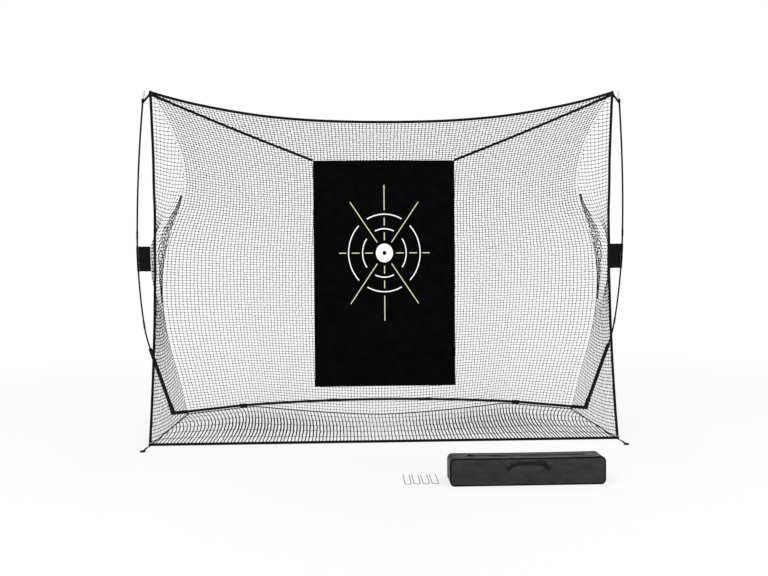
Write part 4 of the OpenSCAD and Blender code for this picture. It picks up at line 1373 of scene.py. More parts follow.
    def floor(self, side: Side) -> bpy.types.Object:
        """Half of the floor, from the middle to the side, where the net lies double.

        A column that starts at x on the front edge ends at x * (1 + fan) on the rear edge,
        unless it meets the side edge first, and it bows towards the middle by
        bow * s * sin(pi v). The upper layer lies a little beside the lower one, and only
        one row in floor_tied is tied across, as the net is drawn out lengthways.
        """
        cols, rows = round(NET.half_floor / self.mesh), self.floor_rows
        s, v = np.meshgrid(np.linspace(0, 1, cols + 1), np.linspace(0, 1, rows + 1))
        half = NET.half_floor + (NET.rear_corner[0] - NET.half_floor) * v - self.floor_lap
        fanned = s * half * (1 + self.floor_fan * v) - self.floor_bow * s * np.sin(np.pi * v)
        x = np.minimum(fanned, half)
        inside = fanned < half
        y = self.floor_lap + v * (NET.rear_y(x) - NET.cord / 2 - self.floor_lap)
        ahead = inside[:, :-1] & (np.arange(rows + 1) % self.floor_tied == 0)[:, None]
        along = inside[:-1] | inside[1:]
        if side is Side.LEFT:
            along[:, 0] = False
        shell = Shell(side is Side.LEFT)
        for layer, weights in enumerate(self.floor_weights):
            beside = layer * self.floor_beside * np.sin(np.pi * s) * np.sin(np.pi * v)
            rise = self.knot * (0.8 + layer * 0.25)
            rise = rise + 0.003 * (1 + waves(s * 6, v * 4, seed=2)) / 2 * np.sin(np.pi * v)
            grid = np.stack([np.minimum(x + beside, half), y, rise], -1)
            self.net(shell, grid, ahead, along, weights)
        made = shell.piece(f"{side.label}_floor_net", TWINE, rounded=False, weld=False)
        blended(made, side, *FLOOR_WAY)
        return made

    def build(self) -> None:
        """Ties all six pieces of the net."""
        for side in Side:
            back, floor = self.back(side), self.floor(side)
            self.side(side)
            if side is Side.RIGHT:
                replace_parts(back, "net_back_upper", "net_back_middle", "net_back_lower")
                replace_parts(floor, "net_floor")


@dataclass
class Binding:
    """Webbing round the edges of the net, the seam cords and the corner patches.

    Attributes:
        width: Width of the webbing.
        thickness: Thickness of the webbing.
        sway: How far the webbing wanders between the meshes that pull on it.
        patch: How far a top patch's two legs reach from the corner.
        patch_width: Width of a patch, as a share of the webbing's.
        patch_out: Distance of a patch's middle before the front of the net.
        pillow: How far the middle of a floor patch stands proud of its edges.
    """

    width: float = NET.webbing
    thickness: float = NET.webbing_t
    sway: float = 0.0012
    patch: float = 0.034
    patch_width: float = 0.98
    patch_out: float = 0.0026
    pillow: float = 0.0004

    def strip(
        self, name: str, path: np.ndarray, face: Sequence[float], side: Side, share: float = 1.0
    ) -> Any:
        """Webbing along a path on the right, mirrored for the left, share of its width wide."""
        shell = Shell(side is Side.LEFT)
        shell.sweep(path, face, flat_profile(self.width * share, self.thickness))
        return shell.piece(name, WEBBING)

    def top(self, side: Side) -> bpy.types.Object:
        """Half of the top edge."""
        x = np.linspace(0, NET.half_top + self.width / 2, 90)
        z = NET.top_z(x / NET.half_top)
        z += self.sway * waves(x * 2, seed=4) * np.sin(np.pi * x / x[-1])
        path = np.stack([x, 0 * x, z], -1)
        made = self.strip(f"{side.label}_top_binding", path, TO_FRONT, side)
        blended(made, side, *ACROSS)
        return made

    def front(self, side: Side) -> bpy.types.Object:
        """One front side edge."""
        z = np.linspace(0.020, NET.corner_height - 0.014, 100)
        path = NET.front(z)
        path[:, 0] += self.sway * waves(z * 2, seed=5) * np.sin(np.pi * z / z[-1])
        made = self.strip(f"{side.label}_front_binding", path, TO_FRONT, side)
        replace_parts(made, f"{side.label}_front_border")
        blended(made, side, *SIDE_WAY)
        return made

    def floor_side(self, side: Side) -> bpy.types.Object:
        """The floor edge under one side net."""
        y = np.linspace(0.0035, NET.rear_corner[1] - 0.0093, 50)
        x = NET.half_floor + (NET.rear_corner[0] - NET.half_floor) * y / NET.rear_corner[1]
        x = x + self.sway * waves(y * 4, seed=6) * np.sin(np.pi * y / y[-1])
        path = np.stack([x, y, 0 * x + self.thickness / 2], -1)
        made = self.strip(f"{side.label}_floor_binding", path, (0, 0, 1), side, 0.6)
        blended(made, side, *FLOOR_WAY)
        return made

    def bottom(self) -> None:
        """The front floor edge, which the net's pull stands upright on the floor."""
        x = np.linspace(-1, 1, 120) * (NET.half_floor + self.width / 2)
        y = self.sway * waves(x * 1.5, seed=7) * np.cos(np.pi / 2 * x / x[-1])
        path = np.stack([x, y, 0 * x + self.width / 2 + 0.0004], -1)
        made = self.strip("bottom_binding", path, (0, -1, 0.12), Side.RIGHT)
        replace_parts(made, "bottom_border")
        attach(made, "root")

    def seam(self, side: Side) -> bpy.types.Object:
        """The lacing in the seam between back and side, thicker where it is bunched.

        Its size is 0.15 of the cord's at the top, 0.25 more past v = 0.32, and
        0.5 * exp(-((v - 0.6) / 0.12)^2) more round the bunch.
        """
        shell = Shell(side is Side.LEFT)
        v = np.linspace(0.03, 0.985, 110)
        size = 0.15 + 0.25 * smooth((v - 0.2) / 0.12) + 0.5 * np.exp(-(((v - 0.6) / 0.12) ** 2))
        shell.sweep(NET.seam(v), (0, 1, 0), round_profile(NET.cord / 2), scale=size)
        made = shell.piece(f"{side.label}_seam_cord", CORD)
        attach(made, side.arm)
        return made

    def rear(self, side: Side) -> bpy.types.Object:
        """Half of the cord in the rear floor edge."""
        shell = Shell(side is Side.LEFT)
        x = np.linspace(0, NET.rear_corner[0] - 0.011, 90)
        path = np.stack([x, NET.rear_y(x), 0 * x + NET.cord / 2], -1)
        shell.sweep(path, (0, 0, 1), round_profile(NET.cord / 2))
        made = shell.piece(f"{side.label}_rear_cord", CORD)
        blended(made, side, *FLOOR_WAY)
        return made

    def patches(self, side: Side) -> bpy.types.Object:
        """The folded webbing sewn over the net's top corner, which is the body's own."""
        shell = Shell(side is Side.LEFT)
        half, reach = self.width / 2, self.patch
        s = np.linspace(0, 1, 14)
        run = half - (reach + half) * s
        slope = NET.top_sag * NET.top_power / NET.half_top
        level = NET.corner + np.stack([run, 0 * s - self.patch_out, -slope * reach * s], -1)
        shell.sweep(level, TO_FRONT, flat_profile(self.width, self.thickness))
        upright = NET.corner + np.stack([0 * s, 0 * s - self.patch_out - 0.0002, run], -1)
        narrow = flat_profile(self.width * self.patch_width, self.thickness)
        shell.sweep(upright, TO_FRONT, narrow)
        made = shell.piece(f"{side.label}_corner_patch", WEBBING)
        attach(made, side.arm)
        return made

    def floor_patches(self, side: Side) -> None:
        """The sewn squares at the two floor corners of one side.

        A square is a sheet whose middle stands proud by a product of cosines. The front one
        stands before the borders, and the rear one lies flat.
        """
        size = self.width / 2 * self.patch_width
        a, b = np.meshgrid(np.linspace(-size, size, 9), np.linspace(-size, size, 9))
        pillow = self.pillow * np.cos(np.pi * a / 2 / size) * np.cos(np.pi * b / 2 / size)
        flat, proud = 0 * a, self.thickness / 2 + pillow
        x, y = NET.rear_corner
        squares = (
            (
                "front",
                np.stack([a + NET.half_floor, flat - self.patch_out - pillow, b + 0.0094], -1),
            ),
            ("rear", np.stack([a + x, b + y, proud], -1)),
        )
        for (label, middle), body in zip(squares, ("root", side.arm)):
            shell = Shell(side is Side.LEFT)
            shell.slab(middle, self.thickness)
            made = shell.piece(f"{side.label}_{label}_floor_patch", WEBBING)
            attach(made, body)

    def build(self) -> None:
        """Makes every edge of the net."""
        self.bottom()
        for side in Side:
            made = [
                (self.top(side), "top_border"),
                (self.floor_side(side), "floor_side_borders"),
                (self.seam(side), "seam_cords"),
                (self.rear(side), "rear_floor_cord"),
                (self.patches(side), "corner_patches"),
            ]
            self.front(side)
            self.floor_patches(side)
            if side is Side.RIGHT:
                for piece, node in made:
                    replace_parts(piece, node)


@dataclass
class Anchors:
    """A short webbing loop at each front corner, with a moulded ring that takes a stake.

    Attributes:
        reach: Distance from the corner of the net to the middle of the ring.
        hole: Radius of the ring's hole.
        bar: Radius of the ring's own section.
        band: Width of the loop.
    """

    reach: float = 0.165
    hole: float = 0.008
    bar: float = 0.0048
    band: float = 0.012

    def build(self) -> None:
        """Makes both loops and rings."""
        for side in Side:
            loop = self.loop(side)
            self.ring(side)
        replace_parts(loop, "corner_anchors")

    def loop(self, side: Side) -> bpy.types.Object:
        """Webbing from the net's corner to the ring, with its end folded back and sewn."""
        shell = Shell(side is Side.LEFT)
        y = np.linspace(-0.0042, -self.reach + self.hole + 0.002, 40)
        lift = 0.004 * np.sin(np.pi * (y - y[0]) / (y[-1] - y[0])) ** 2
        path = np.stack([0 * y + NET.half_floor, y, NET.webbing_t * 0.9 + lift], -1)
        shell.sweep(path, (0, 0, 1), flat_profile(self.band, NET.webbing_t * 1.8))
        back = path[-18:] + np.array([0, 0, NET.webbing_t * 1.4 + 0.0003])
        shell.sweep(back, (0, 0, 1), flat_profile(self.band * 0.96, NET.webbing_t * 0.9))
        made = shell.piece(f"{side.label}_anchor_loop", WEBBING)
        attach(made, "root")
        return made

    def ring(self, side: Side) -> None:
        """A ring of round section that lies flat on the floor."""
        shell = Shell(side is Side.LEFT)
        a = np.linspace(0, 2 * np.pi, 40, endpoint=False)
        r = self.hole + self.bar + 0.0004
        middle = np.stack(
            [NET.half_floor + r * np.cos(a), -self.reach + r * np.sin(a), 0 * a + self.bar], -1
        )
        shell.sweep(middle, (0, 0, 1), round_profile(self.bar, 14), closed=True)
        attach(shell.piece(f"{side.label}_anchor_ring", NYLON), "root")


@dataclass
class Ties:
    """Fabric and webbing that tie the net to the poles and the arms.

    Attributes:
        wrap: Radius of a tab's sleeve round the pole.
        cloth: Thickness of the tab's two layers.
        loop: Width of the loop at the top corner.
        loop_from_tip: Distance of the loop's lower edge from the pole's tip.
        strap: Width of the strap round the arm tube.
        strap_at: Place of the strap along the arm from its hinge.
        strap_reach: Distance of the strap's end from the middle of the arm.
        tube: Radius of the arm tube.
        gape: Angle from its panel at which a sleeve starts and ends, in radians.
        pucker: How far a tab's cloth puckers.
    """

    wrap: float = POLE.radius + 0.0013
    cloth: float = 0.002
    loop: float = 0.025
    loop_from_tip: float = 0.045
    strap: float = 0.020
    strap_at: float = 0.482
    strap_reach: float = 0.061
    tube: float = 0.011
    gape: float = 0.16
    pucker: float = 0.003

    def sleeve(
        self, shell: Shell, points: np.ndarray, ways: np.ndarray, toward: np.ndarray
    ) -> None:
        """Wraps cloth round the pole, from one side of its panel to the other.

        Args:
            shell: Takes the cloth.
            points: Places on the pole's centre line.
            ways: Directions of the pole there.
            toward: Unit vectors from the pole to the panel.
        """
        flat = unit(toward - (toward * ways).sum(-1, keepdims=True) * ways)
        other = np.cross(ways, flat)
        a = np.linspace(self.gape, 2 * np.pi - self.gape, 22)
        cos, sin = np.cos(a)[None, :, None], np.sin(a)[None, :, None]
        ring = flat[:, None] * cos + other[:, None] * sin
        shell.slab(points[:, None] + self.wrap * ring, self.cloth)

    def tab(self, side: Side) -> None:
        """The fabric panel that draws the side net to the pole."""
        shell = Shell(side is Side.LEFT)
        z = np.linspace(TAB_LOW, TAB_HIGH, 26)
        pole, hold = pole_at_height(z), tab_hold(z)
        ways = tangents(pole)
        toward = unit(hold - pole)
        self.sleeve(shell, pole, ways, toward)
        u = np.linspace(0, 1, 20)
        start = pole + (self.wrap + 0.0012) * toward
        end = hold - 0.0022 * toward
        panel = start[:, None] + u[None, :, None] * (end - start)[:, None]
        out = unit(np.cross(toward, ways))
        over, up = np.meshgrid(u, z * 6)
        pucker = self.pucker * waves(over, up, seed=9)
        panel += (pucker * np.sin(np.pi * u))[..., None] * out[:, None]
        edge = np.minimum(u, 1 - u) * NET.tab_reach
        hem = 1 + 0.5 * smooth((0.012 - edge) / 0.004)
        shell.slab(panel, self.cloth * np.tile(hem, (len(z), 1)))
        made = shell.piece(f"{side.label}_pole_tab_cloth", TAB_CLOTH)
        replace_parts(made, f"{side.label}_pole_tab")
        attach(made, side.arm)

    def corner_loop(self, side: Side) -> None:
        """The webbing that hangs the net's top corner on the pole."""
        shell = Shell(side is Side.LEFT)
        length = sum(POLE.sections)
        along = length - self.loop_from_tip + np.linspace(0, self.loop, 10)
        points, ways = POLE.line(NET.corner, along)
        edge = NET.corner + np.array([NET.webbing / 2 + 0.0012, 0, -0.030])
        edges = edge + np.linspace(0, 0.020, 10)[:, None] * UP
        toward = unit(edges - points)
        toward = unit(toward - (toward * ways).sum(-1, keepdims=True) * ways)
        self.sleeve(shell, points, ways, toward)
        start = points + (self.wrap + 0.0015) * toward
        u = np.linspace(0, 1, 8)
        shell.slab(start[:, None] + u[None, :, None] * (edges - start)[:, None], self.cloth)
        made = shell.piece(f"{side.label}_corner_webbing", WEBBING)
        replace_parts(made, f"{side.label}_corner_loop")
        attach(made, side.arm)

    def rear_strap(self, side: Side) -> None:
        """The webbing band round the arm tube, and its tail to the net's rear corner."""
        shell = Shell(side is Side.LEFT)
        ahead = POLE.arm_way
        inward = np.array([ahead[1], -ahead[0], 0.0])
        middle = np.array(POLE.hinge) + self.strap_at * ahead
        a = np.linspace(0, 2 * np.pi, 28, endpoint=False)
        r = self.tube + 0.0014
        face = np.cos(a)[:, None] * inward + np.sin(a)[:, None] * UP
        band = middle + r * face
        profile = flat_profile(self.strap, self.cloth)
        ring = np.concatenate([face, face[:1]])
        shell.sweep(band, ring, profile, closed=True)
        t = np.linspace(0, 1, 16)
        near = self.tube + 0.002
        out = near + (self.strap_reach - near) * t
        high = 0.012 + (0.0035 - 0.012) * smooth(t * 1.15)
        tail = np.array([middle[0], middle[1], 0.0]) + out[:, None] * inward + high[:, None] * UP
        shell.sweep(tail, UP, profile)
        made = shell.piece(f"{side.label}_arm_strap", WEBBING)
        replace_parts(made, f"{side.label}_rear_strap")
        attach(made, side.arm)

    def build(self) -> None:
        """Makes all six ties."""
        for side in Side:
            self.tab(side)
            self.corner_loop(side)
            self.rear_strap(side)


@dataclass
class Target:
    """The hanging sheet and its two straps.

    Attributes:
        width: Width of the sheet.
        height: Height of the sheet.
        top: Height of its top edge.
        depth: Its distance behind the front edge of the net.
        cloth: Thickness of the cloth.
        hem: Width of the hem.
        ripple: How far the cloth ripples.
        strap: Width of a strap.
        strap_from: Where a strap starts, from the net's top corner.
        strap_past: Where it leaves the corner patch, from the same corner.
        strap_sag: How far its middle sags.
    """

    width: float = 0.950
    height: float = 1.520
    top: float = 1.886
    depth: float = 0.080
    cloth: float = 0.0012
    hem: float = 0.025
    ripple: float = 0.004
    strap: float = 0.017
    strap_from: tuple[float, float, float] = (-0.010, -0.005, -0.019)
    strap_past: tuple[float, float, float] = (-0.040, -0.005, -0.031)
    strap_sag: float = 0.006

    def build(self) -> None:
        """Makes the sheet and the straps."""
        self.sheet()
        for side in Side:
            made = self.hanger(side)
            if side is Side.RIGHT:
                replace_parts(made, "target_straps")

    def sheet(self) -> None:
        """Cloth that hangs by its top corners, with soft upright folds.

        It ripples by ripple * waves * (0.25 + 0.75 * smooth(v)) * (0.2 + 0.8 * (1 - v)), with
        v from the bottom to the top.
        """
        u, v = np.meshgrid(np.linspace(0, 1, 96), np.linspace(0, 1, 120))
        edge = np.minimum(np.minimum(u, 1 - u) * self.width, np.minimum(v, 1 - v) * self.height)
        soft = waves(u * 2.2, v * 0.4, seed=11) * (0.25 + 0.75 * smooth(v))
        x = (u - 0.5) * self.width
        z = self.top - self.height * (1 - v)
        y = self.depth + self.ripple * soft * (0.2 + 0.8 * (1 - v))
        middle = np.stack([x, y, z], -1)
        turned = self.cloth * (1 + smooth((self.hem - edge) / 0.003))
        shell = Shell()
        shell.slab(middle, turned, apart=3.0)
        made = shell.piece("target_cloth", TARGET_CLOTH)
        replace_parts(made, "target_sheet")
        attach(made, "target")

    def hanger(self, side: Side) -> bpy.types.Object:
        """The strap from the net's top corner to the sheet's."""
        shell = Shell(side is Side.LEFT)
        start = NET.corner + np.array(self.strap_from)
        past = NET.corner + np.array(self.strap_past)
        end = np.array([self.width / 2 + 0.0005, self.depth, self.top + 0.0009])
        t = np.linspace(0, 1, 40)
        run = past + t[:, None] * (end - past)
        run[:, 2] -= self.strap_sag * np.sin(np.pi * t)
        path = np.concatenate([start + np.linspace(0, 1, 5)[:-1, None] * (past - start), run])
        shell.sweep(path, TO_FRONT, flat_profile(self.strap, NET.webbing_t))
        made = shell.piece(f"{side.label}_target_strap", WEBBING)
        blended(made, side, *STRAP_WAY)
        return made


@dataclass
class CarryBag:
    """The long zipped bag: two piped panels with a gusset between them, grips and a zip.

    Attributes:
        centre: Its middle on the floor.
        length: Its length.
        depth: Its depth.
        height: Its height.
        corner: Radius of the corners of its front and back panel.
        edge: Radius of the fold from a panel to the gusset.
        bulge: How far a panel swells at its middle.
        grip_span: Distance between the two feet of a grip.
        seat: How far the cloth lies inside the bag's outer size.
        pipe: Radius of the piping.
        grip_low: Height of a grip's feet.
        grip_high: Height of its top.
        ridges: Angle in radians and height of each ridge that runs from a grip's foot.
        ridge_width: Half the width of a ridge.
        ridge_reach: Half its length.
        slack: How far the top sinks at the middle, as a share of the height.
        steps: Rings from a panel's middle to its edge, over the fold, and over half a gusset.
        coil_pitch: Distance between two coils of the zip.
        coil_half: Half the width of the row of coils.
        coil_rise: Half its height.
        coil_end: Distance of the first and the last coil from the ends of the zip.
    """

    centre: tuple[float, float] = (0.715, -0.995)
    length: float = 0.834
    depth: float = 0.130
    height: float = 0.150
    corner: float = 0.026
    edge: float = 0.012
    bulge: float = 0.008
    grip_span: float = 0.220
    seat: float = 0.002
    pipe: float = 0.0048
    grip_low: float = 0.084
    grip_high: float = 0.122
    ridges: tuple[tuple[float, float], ...] = ((0.5, 0.007), (-0.9, 0.005), (1.8, 0.004))
    ridge_width: float = 0.007
    ridge_reach: float = 0.06
    slack: float = 0.018
    steps: tuple[int, int, int] = (16, 5, 9)
    coil_pitch: float = 0.004
    coil_half: float = 0.0022
    coil_rise: float = 0.0004
    coil_end: float = 0.005

    def outline(self, inset: float) -> np.ndarray:
        """Rounded rectangle of a panel about its own middle, as (x, z), counterclockwise.

        Its corners are quarter circles of radius corner - inset, and its sides are straight.
        """
        half = np.array([self.length / 2 - 0.001, self.height / 2 - 0.001])
        r = max(self.corner - inset, 0.004)
        inner = half - inset - r
        turn = np.linspace(0, np.pi / 2, 7)
        arc = r * np.stack([np.cos(turn), np.sin(turn)], -1)
        quarter = [(1, 1, arc), (-1, 1, arc[::-1]), (-1, -1, arc), (1, -1, arc[::-1])]
        parts = []
        for k, (sx, sz, bend) in enumerate(quarter):
            here = (bend + inner) * np.array([sx, sz])
            parts.append(here)
            nx, nz, after = quarter[(k + 1) % 4]
            there = (after[0] + inner) * np.array([nx, nz])
            steps = 90 if sx != nx else 14
            u = np.linspace(0, 1, steps + 1)[1:-1, None]
            parts.append(here[-1] + u * (there - here[-1]))
        return np.concatenate(parts)

    def folds(self, x: np.ndarray, z: np.ndarray) -> np.ndarray:
        """Height of the panel's folds: soft waves, and ridges that run from the grips' feet.

        A ridge is height * exp(-(across / width)^2) * exp(-(along / reach)^2).
        """
        half_x, half_z = self.length / 2, self.height / 2
        room = np.clip(1 - (x / half_x) ** 4, 0, 1) * np.clip(1 - (z / half_z) ** 4, 0, 1)
        total = 0.0034 * waves(x * 7, z * 5, seed=21) + 0.0022 * waves(x * 22, z * 16, seed=22)
        for foot in (-1, 1):
            for angle, height in self.ridges:
                dx, dz = x - foot * self.grip_span / 2, z - half_z * 0.55
                c, s = math.cos(angle * foot), math.sin(angle * foot)
                along, across = dx * c + dz * s, dz * c - dx * s
                narrow = np.exp(-((across / self.ridge_width) ** 2))
                ridge = narrow * np.exp(-((along / self.ridge_reach) ** 2))
                total = total + height * ridge
        return total * room

    def panel_out(self, x: np.ndarray, z: np.ndarray) -> np.ndarray:
        """How far a panel stands out at (x, z) about its middle: a parabola and the folds."""
        round_x, round_z = x / (self.length / 2), z / (self.height / 2)
        room = np.clip(1 - round_x**4, 0, 1) * np.clip(1 - round_z**2, 0, 1)
        return self.bulge * room + self.folds(x, z)

    def placed(self, x: np.ndarray, y: np.ndarray, z: np.ndarray) -> np.ndarray:
        """Points about the bag's middle, put in place, with a slack top and a flat bottom."""
        lift = z + self.height / 2
        slack = 1 - self.slack * np.cos(np.pi * x / self.length) * (lift / self.height)
        lift = np.maximum(lift * slack, 0.0008)
        return np.stack([x + self.centre[0], y + self.centre[1], lift], -1)

    def body(self) -> None:
        """The shell, in rings from the middle of the back panel over the gusset to the front.

        Half of them are listed, each with its inset, its size and its level in Y, and the
        other half mirrors them.
        """
        half_y = self.depth / 2 - self.seat
        flat, fold, gusset = self.steps
        turn = np.linspace(0, np.pi / 2, fold + 1)[1:]
        inset = np.concatenate(
            [np.full(flat, self.edge), self.edge * (1 - np.sin(turn)), np.zeros(gusset)]
        )
        scale = np.concatenate([np.linspace(0.02, 1, flat), np.ones(fold + gusset)])
        level = np.concatenate(
            [np.full(flat, -half_y), -half_y + self.edge * (1 - np.cos(turn)),
             np.linspace(-half_y + self.edge, 0, gusset + 1)[1:]]
        )
        inset, scale = (np.concatenate([half, half[-2::-1]]) for half in (inset, scale))
        level = np.concatenate([level, -level[-2::-1]])
        rings = np.stack([self.outline(d) * k for d, k in zip(inset, scale)])
        x, z = rings[..., 0], rings[..., 1]
        y = np.broadcast_to(level[:, None], x.shape)
        panel = np.clip((np.abs(y) - half_y + self.edge) / self.edge, 0, 1) ** 2
        y = y + np.sign(y) * self.panel_out(x, z) * panel
        soft = 0.0016 * waves(x * 9, y * 14, seed=24) * (1 - panel)
        z = z + soft * np.sign(z) * (np.abs(z) > 0.03)
        rings = self.placed(x, y, z)
        across = running_length(np.concatenate([rings[30], rings[30][:1]]))
        shell = Shell()
        shell.grid(rings, across, running_length(rings[:, 0]), wrap=True)
        shell.cap(rings[0][::-1], rings[0][::-1][:, ::2])
        shell.cap(rings[-1], rings[-1][:, ::2])
        made = shell.piece("bag_body", BAG_CLOTH)
        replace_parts(made, "carry_bag")
        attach(made, "root")

    def piping(self) -> None:
        """A piped seam round the front and the back panel."""
        shell = Shell()
        ring = self.outline(self.edge * 0.3)
        for face in (-1, 1):
            y = np.full(len(ring), face * (self.depth / 2 - self.seat - self.edge * 0.3))
            path = self.placed(ring[:, 0], y, ring[:, 1])
            path[:, 2] = np.maximum(path[:, 2], self.pipe)
            shell.sweep(path, (0, face, 0), round_profile(self.pipe, 8), closed=True)
        made = shell.piece("bag_piping", PIPING)
        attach(made, "root")

    def grips(self) -> None:
        """The two webbing grips, one on the front and one on the back.

        A grip is the arch (-span / 2 * cos a, low + (high - low) * sin(a)^0.7).
        """
        shell = Shell()
        a = np.linspace(0, np.pi, 60)
        low, high = self.grip_low, self.grip_high
        for face in (-1, 1):
            x = -self.grip_span / 2 * np.cos(a)
            z = low + (high - low) * np.sin(a) ** 0.7
            out = self.panel_out(x, z - self.height / 2)
            y = face * (self.depth / 2 - self.seat + out + 0.0012 + 0.004 * np.sin(a) ** 2)
            path = np.stack([x + self.centre[0], y + self.centre[1], z], -1)
            shell.sweep(path, (0, face, 0), flat_profile(0.018, 0.002))
        made = shell.piece("bag_grips", GRIP_WEBBING)
        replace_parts(made, "bag_handles")
        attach(made, "root")

    def zip(self) -> None:
        """The zip's tape, humped along its middle, and its row of coils.

        The coils are the wave (t, half * cos, rise * sin) with a turn every coil_pitch, which
        is twice the real pitch so that it shows.
        """
        lo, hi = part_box("bag_zip_track")
        x, y = np.linspace(lo.x, hi.x, 60), np.linspace(lo.y, hi.y, 9)
        xx, yy = np.meshgrid(x, y)
        ridge = 0.0003 * np.cos((yy - self.centre[1]) / (hi.y - lo.y) * 2 * np.pi)
        shell = Shell()
        shell.slab(np.stack([xx, yy, (lo.z + hi.z) / 2 - 0.0004 + ridge], -1), 0.0008)
        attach(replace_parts(shell.piece("zip_tape", ZIP_TAPE), "bag_zip_track"), "root")
        coils = Shell()
        t = np.linspace(0, 1, 1900)
        length = hi.x - lo.x - 2 * self.coil_end
        turns = 2 * np.pi * length / self.coil_pitch * t
        wave = np.stack(
            [
                lo.x + self.coil_end + t * length,
                self.centre[1] + self.coil_half * np.cos(turns),
                hi.z - 0.0002 + self.coil_rise * np.sin(turns),
            ],
            -1,
        )
        coils.sweep(wave, (0, 0, 1), round_profile(0.0005, 5))
        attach(coils.piece("zip_coils", ZIP_METAL), "root")

    def build(self) -> None:
        """Makes the bag."""
        self.body()
        self.piping()
        self.grips()
        self.zip()


@dataclass
class LeafSpring:
    """The V of spring steel in a base tube, which lifts a snap button through its hole.

    Attributes:
        middle: Place of the button on the tube's centre line, on the right.
        turn: Turn of the tube there from X.
        low: Height of the lower leg's middle over the tube's centre line.
        high: Height of the upper leg's free end over it.
        free: Reach of both free ends past the button.
        reach: Distance of the fold from the button.
        fold: Radius of the fold.
        width: Width of the strip.
        strip: Thickness of the strip.
    """

    middle: tuple[float, float, float] = (0.428659, 1.61062, 0.014)
    turn: float = math.radians(-7.84135)
    low: float = -0.00825
    high: float = 0.0053
    free: float = 0.006
    reach: float = 0.040
    fold: float = 0.0005
    width: float = 0.008
    strip: float = 0.0006

    def build(self) -> None:
        """Makes the left and the right spring."""
        for side in Side:
            self.spring(side)

    def spring(self, side: Side) -> None:
        """The strip: a level leg, a half circle, and a leg that rises to its free end."""
        ahead = np.array([math.cos(self.turn), math.sin(self.turn), 0.0])
        leg = np.linspace(-self.free, self.reach, 12)
        bend = np.linspace(-np.pi / 2, np.pi / 2, 7)[1:-1]
        top = self.low + 2 * self.fold
        x = np.concatenate([leg, self.reach + self.fold * np.cos(bend), leg[::-1]])
        z = np.concatenate(
            [
                np.full(len(leg), self.low),
                self.low + self.fold * (1 + np.sin(bend)),
                np.linspace(top, self.high, len(leg)),
            ]
        )
        path = np.array(self.middle) + x[:, None] * ahead + z[:, None] * UP
        face = np.cross(tangents(path), np.cross(UP, ahead))
        shell = Shell(side is Side.LEFT)
        shell.sweep(path, face, flat_profile(self.width, self.strip))
        made = shell.piece(f"{side.label}_leaf_spring", ZINC)
        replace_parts(made, f"{side.label}_button_spring")
        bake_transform(made)


# ---- carried-over solids ----


def both(*names: str) -> tuple[str, ...]:
    """The left and the right node of each name."""
    return tuple(f"{side.label}_{name}" for name in names for side in Side)


CARRIED: tuple[tuple[Finish, tuple[str, ...]], ...] = (
    (POWDER_COAT, ("base_centre_tube", "base_left_tube", "base_right_tube",
                   "base_joint_sleeves", "hinge_clevises",
                   *both("hinge_tongue", "arm_tube", "socket_tube"))),
    (ZINC, ("hinge_pins", *both("snap_button", "bracket_bolts"))),
    (NYLON, both("end_bracket", "socket_bushes")),
    (FIBREGLASS, both("pole_lower", "pole_middle", "pole_upper")),
    (FERRULE, both("pole_ferrules")),
    (VINYL, both("pole_cap")),
    (GALVANISED, ("ground_stakes",)),
    (ZIP_METAL, ("bag_zip_slider",)),
)


def dress_solids() -> None:
    """Gives each carried-over solid its finish."""
    for finish, names in CARRIED:
        for name in names:
            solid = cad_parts[name]
            solid.data.materials.clear()
            solid.data.materials.append(finish.material())
    log.info("dressed %d solids", sum(len(names) for _, names in CARRIED))


# ---- studio ----


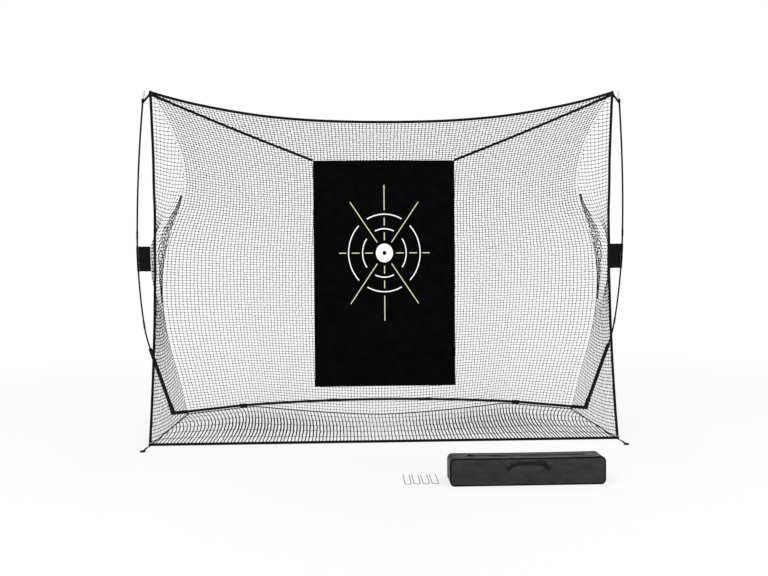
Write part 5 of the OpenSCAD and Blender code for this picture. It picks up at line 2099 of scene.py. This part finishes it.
@dataclass
class Studio:
    """Camera, lights, floor and background.

    Attributes:
        eye: Place of the camera.
        focal: Focal length in pixels of an image IMAGE_WIDTH wide.
        yaw: Turn of the camera towards +X.
        pitch: Turn of the camera down.
        roll: Roll of the camera.
        sensor: Width of the camera's sensor in millimetres.
        middle: The point that the lamps look at.
        lamps: Name, place and power in watts of each lamp.
        lamp_size: Width of a lamp.
        glow: Strength of the background's light on the object.
        ground: Half the width of the floor.
        fade: Distances from the middle at which the floor starts and ends its fade.
        white_share: Share of white in the floor before it fades.
    """

    eye: tuple[float, float, float] = (-0.175, -5.0, 1.139)
    focal: float = 754.0
    yaw: float = math.radians(1.92)
    pitch: float = math.radians(1.24)
    roll: float = math.radians(-0.43)
    sensor: float = 36.0
    middle: tuple[float, float, float] = (0.0, 0.4, 0.9)
    lamps: tuple[tuple[str, tuple[float, float, float], float], ...] = (
        ("key", (-4.5, -5.5, 6.0), 360),
        ("fill", (5.5, -4.0, 4.0), 200),
        ("rim", (0.0, 7.0, 5.5), 160),
    )
    lamp_size: float = 5.0
    glow: float = 0.6
    ground: float = 40.0
    fade: tuple[float, float] = (2.0, 7.0)
    white_share: float = 0.72

    def camera(self) -> None:
        """Makes the scene's camera."""
        cy, sy = math.cos(self.yaw), math.sin(self.yaw)
        cp, sp = math.cos(self.pitch), math.sin(self.pitch)
        ahead = np.array([sy * cp, cy * cp, -sp])
        right = np.array([cy, -sy, 0.0])
        up = np.cross(right, ahead)
        cr, sr = math.cos(self.roll), math.sin(self.roll)
        right, up = cr * right + sr * up, -sr * right + cr * up
        data = bpy.data.cameras.new("camera")
        data.sensor_width = self.sensor
        data.lens = self.focal * self.sensor / IMAGE_WIDTH
        data.clip_end = 100
        made = bpy.data.objects.new("camera", data)
        bpy.context.scene.collection.objects.link(made)
        turn = Matrix([[right[k], up[k], -ahead[k]] for k in range(3)])
        made.matrix_world = Matrix.Translation(self.eye) @ turn.to_4x4()
        bpy.context.scene.camera = made

    def lamp(self, name: str, place: Sequence[float], watts: float) -> None:
        """Adds a square soft light that looks at the middle of the object."""
        data = bpy.data.lights.new(name, "AREA")
        data.size, data.energy = self.lamp_size, watts
        made = bpy.data.objects.new(name, data)
        back = unit(np.array(place) - np.array(self.middle))
        side = unit(np.cross(UP, back))
        up = np.cross(back, side)
        turn = Matrix([[side[k], up[k], back[k]] for k in range(3)])
        made.matrix_world = Matrix.Translation(place) @ turn.to_4x4()
        bpy.context.scene.collection.objects.link(made)

    def seen(self, tree: bpy.types.NodeTree) -> bpy.types.NodeSocket:
        """1 for what the camera sees straight, in a reflection or through a clear piece."""
        path = add_node(tree, "LightPath", {}).outputs
        clear = sums(tree, "MAXIMUM", path["Is Camera Ray"], path["Is Transmission Ray"])
        return sums(tree, "MAXIMUM", clear, path["Is Glossy Ray"])

    def lights(self) -> None:
        """A soft key and fill, and a white background that reflections see too."""
        for name, place, watts in self.lamps:
            self.lamp(name, place, watts)
        world = bpy.data.worlds.new("studio")
        bpy.context.scene.world = world
        tree = fresh_tree(world)
        soft = add_node(tree, "Background", {"Color": linear("#ffffff"), "Strength": self.glow})
        white = add_node(tree, "Background", {"Color": linear("#ffffff"), "Strength": 1.0})
        mixed = add_node(
            tree, "MixShader", {0: self.seen(tree), 1: soft.outputs[0], 2: white.outputs[0]}
        )
        add_node(tree, "OutputWorld", {"Surface": mixed.outputs[0]})

    def floor(self) -> None:
        """A plain pale floor that fades into the white background and keeps the shadows."""
        size = self.ground
        mesh = bpy.data.meshes.new("studio_floor")
        corners = [(-size, -size, 0), (size, -size, 0), (size, size, 0), (-size, size, 0)]
        mesh.from_pydata(corners, [], [(0, 1, 2, 3)])
        made = bpy.data.objects.new("studio_floor", mesh)
        bpy.context.scene.collection.objects.link(made)
        paint = bpy.data.materials.new("Studio floor")
        tree = fresh_tree(paint)
        matt = add_node(tree, "BsdfDiffuse", {"Color": linear("#f2f2f2")})
        glow = add_node(tree, "Emission", {"Color": linear("#ffffff"), "Strength": 1.0})
        place = add_node(tree, "TexCoord", {})
        away = add_node(tree, "VectorMath", {0: place.outputs["Object"]}, operation="LENGTH")
        near, far = self.fade
        fade = add_node(
            tree,
            "MapRange",
            {"Value": away.outputs["Value"], 1: near, 2: far, 3: self.white_share, 4: 1.0},
            interpolation_type="SMOOTHSTEP",
        )
        share = sums(tree, "MULTIPLY", self.seen(tree), fade.outputs[0])
        mixed = add_node(tree, "MixShader", {0: share, 1: matt.outputs[0], 2: glow.outputs[0]})
        add_node(tree, "OutputMaterial", {"Surface": mixed.outputs[0]})
        mesh.materials.append(paint)

    def build(self) -> None:
        """Sets up the whole studio."""
        self.camera()
        self.lights()
        self.floor()
        bpy.context.scene.view_settings.view_transform = "Standard"


def main() -> None:
    """Builds the studio and every sub-assembly in order."""
    Studio().build()
    dress_solids()
    Netting().build()
    Binding().build()
    Anchors().build()
    Ties().build()
    Target().build()
    CarryBag().build()
    LeafSpring().build()


if __name__ == "__main__":
    logging.basicConfig(level=logging.INFO, format="%(name)s: %(message)s")
    main()
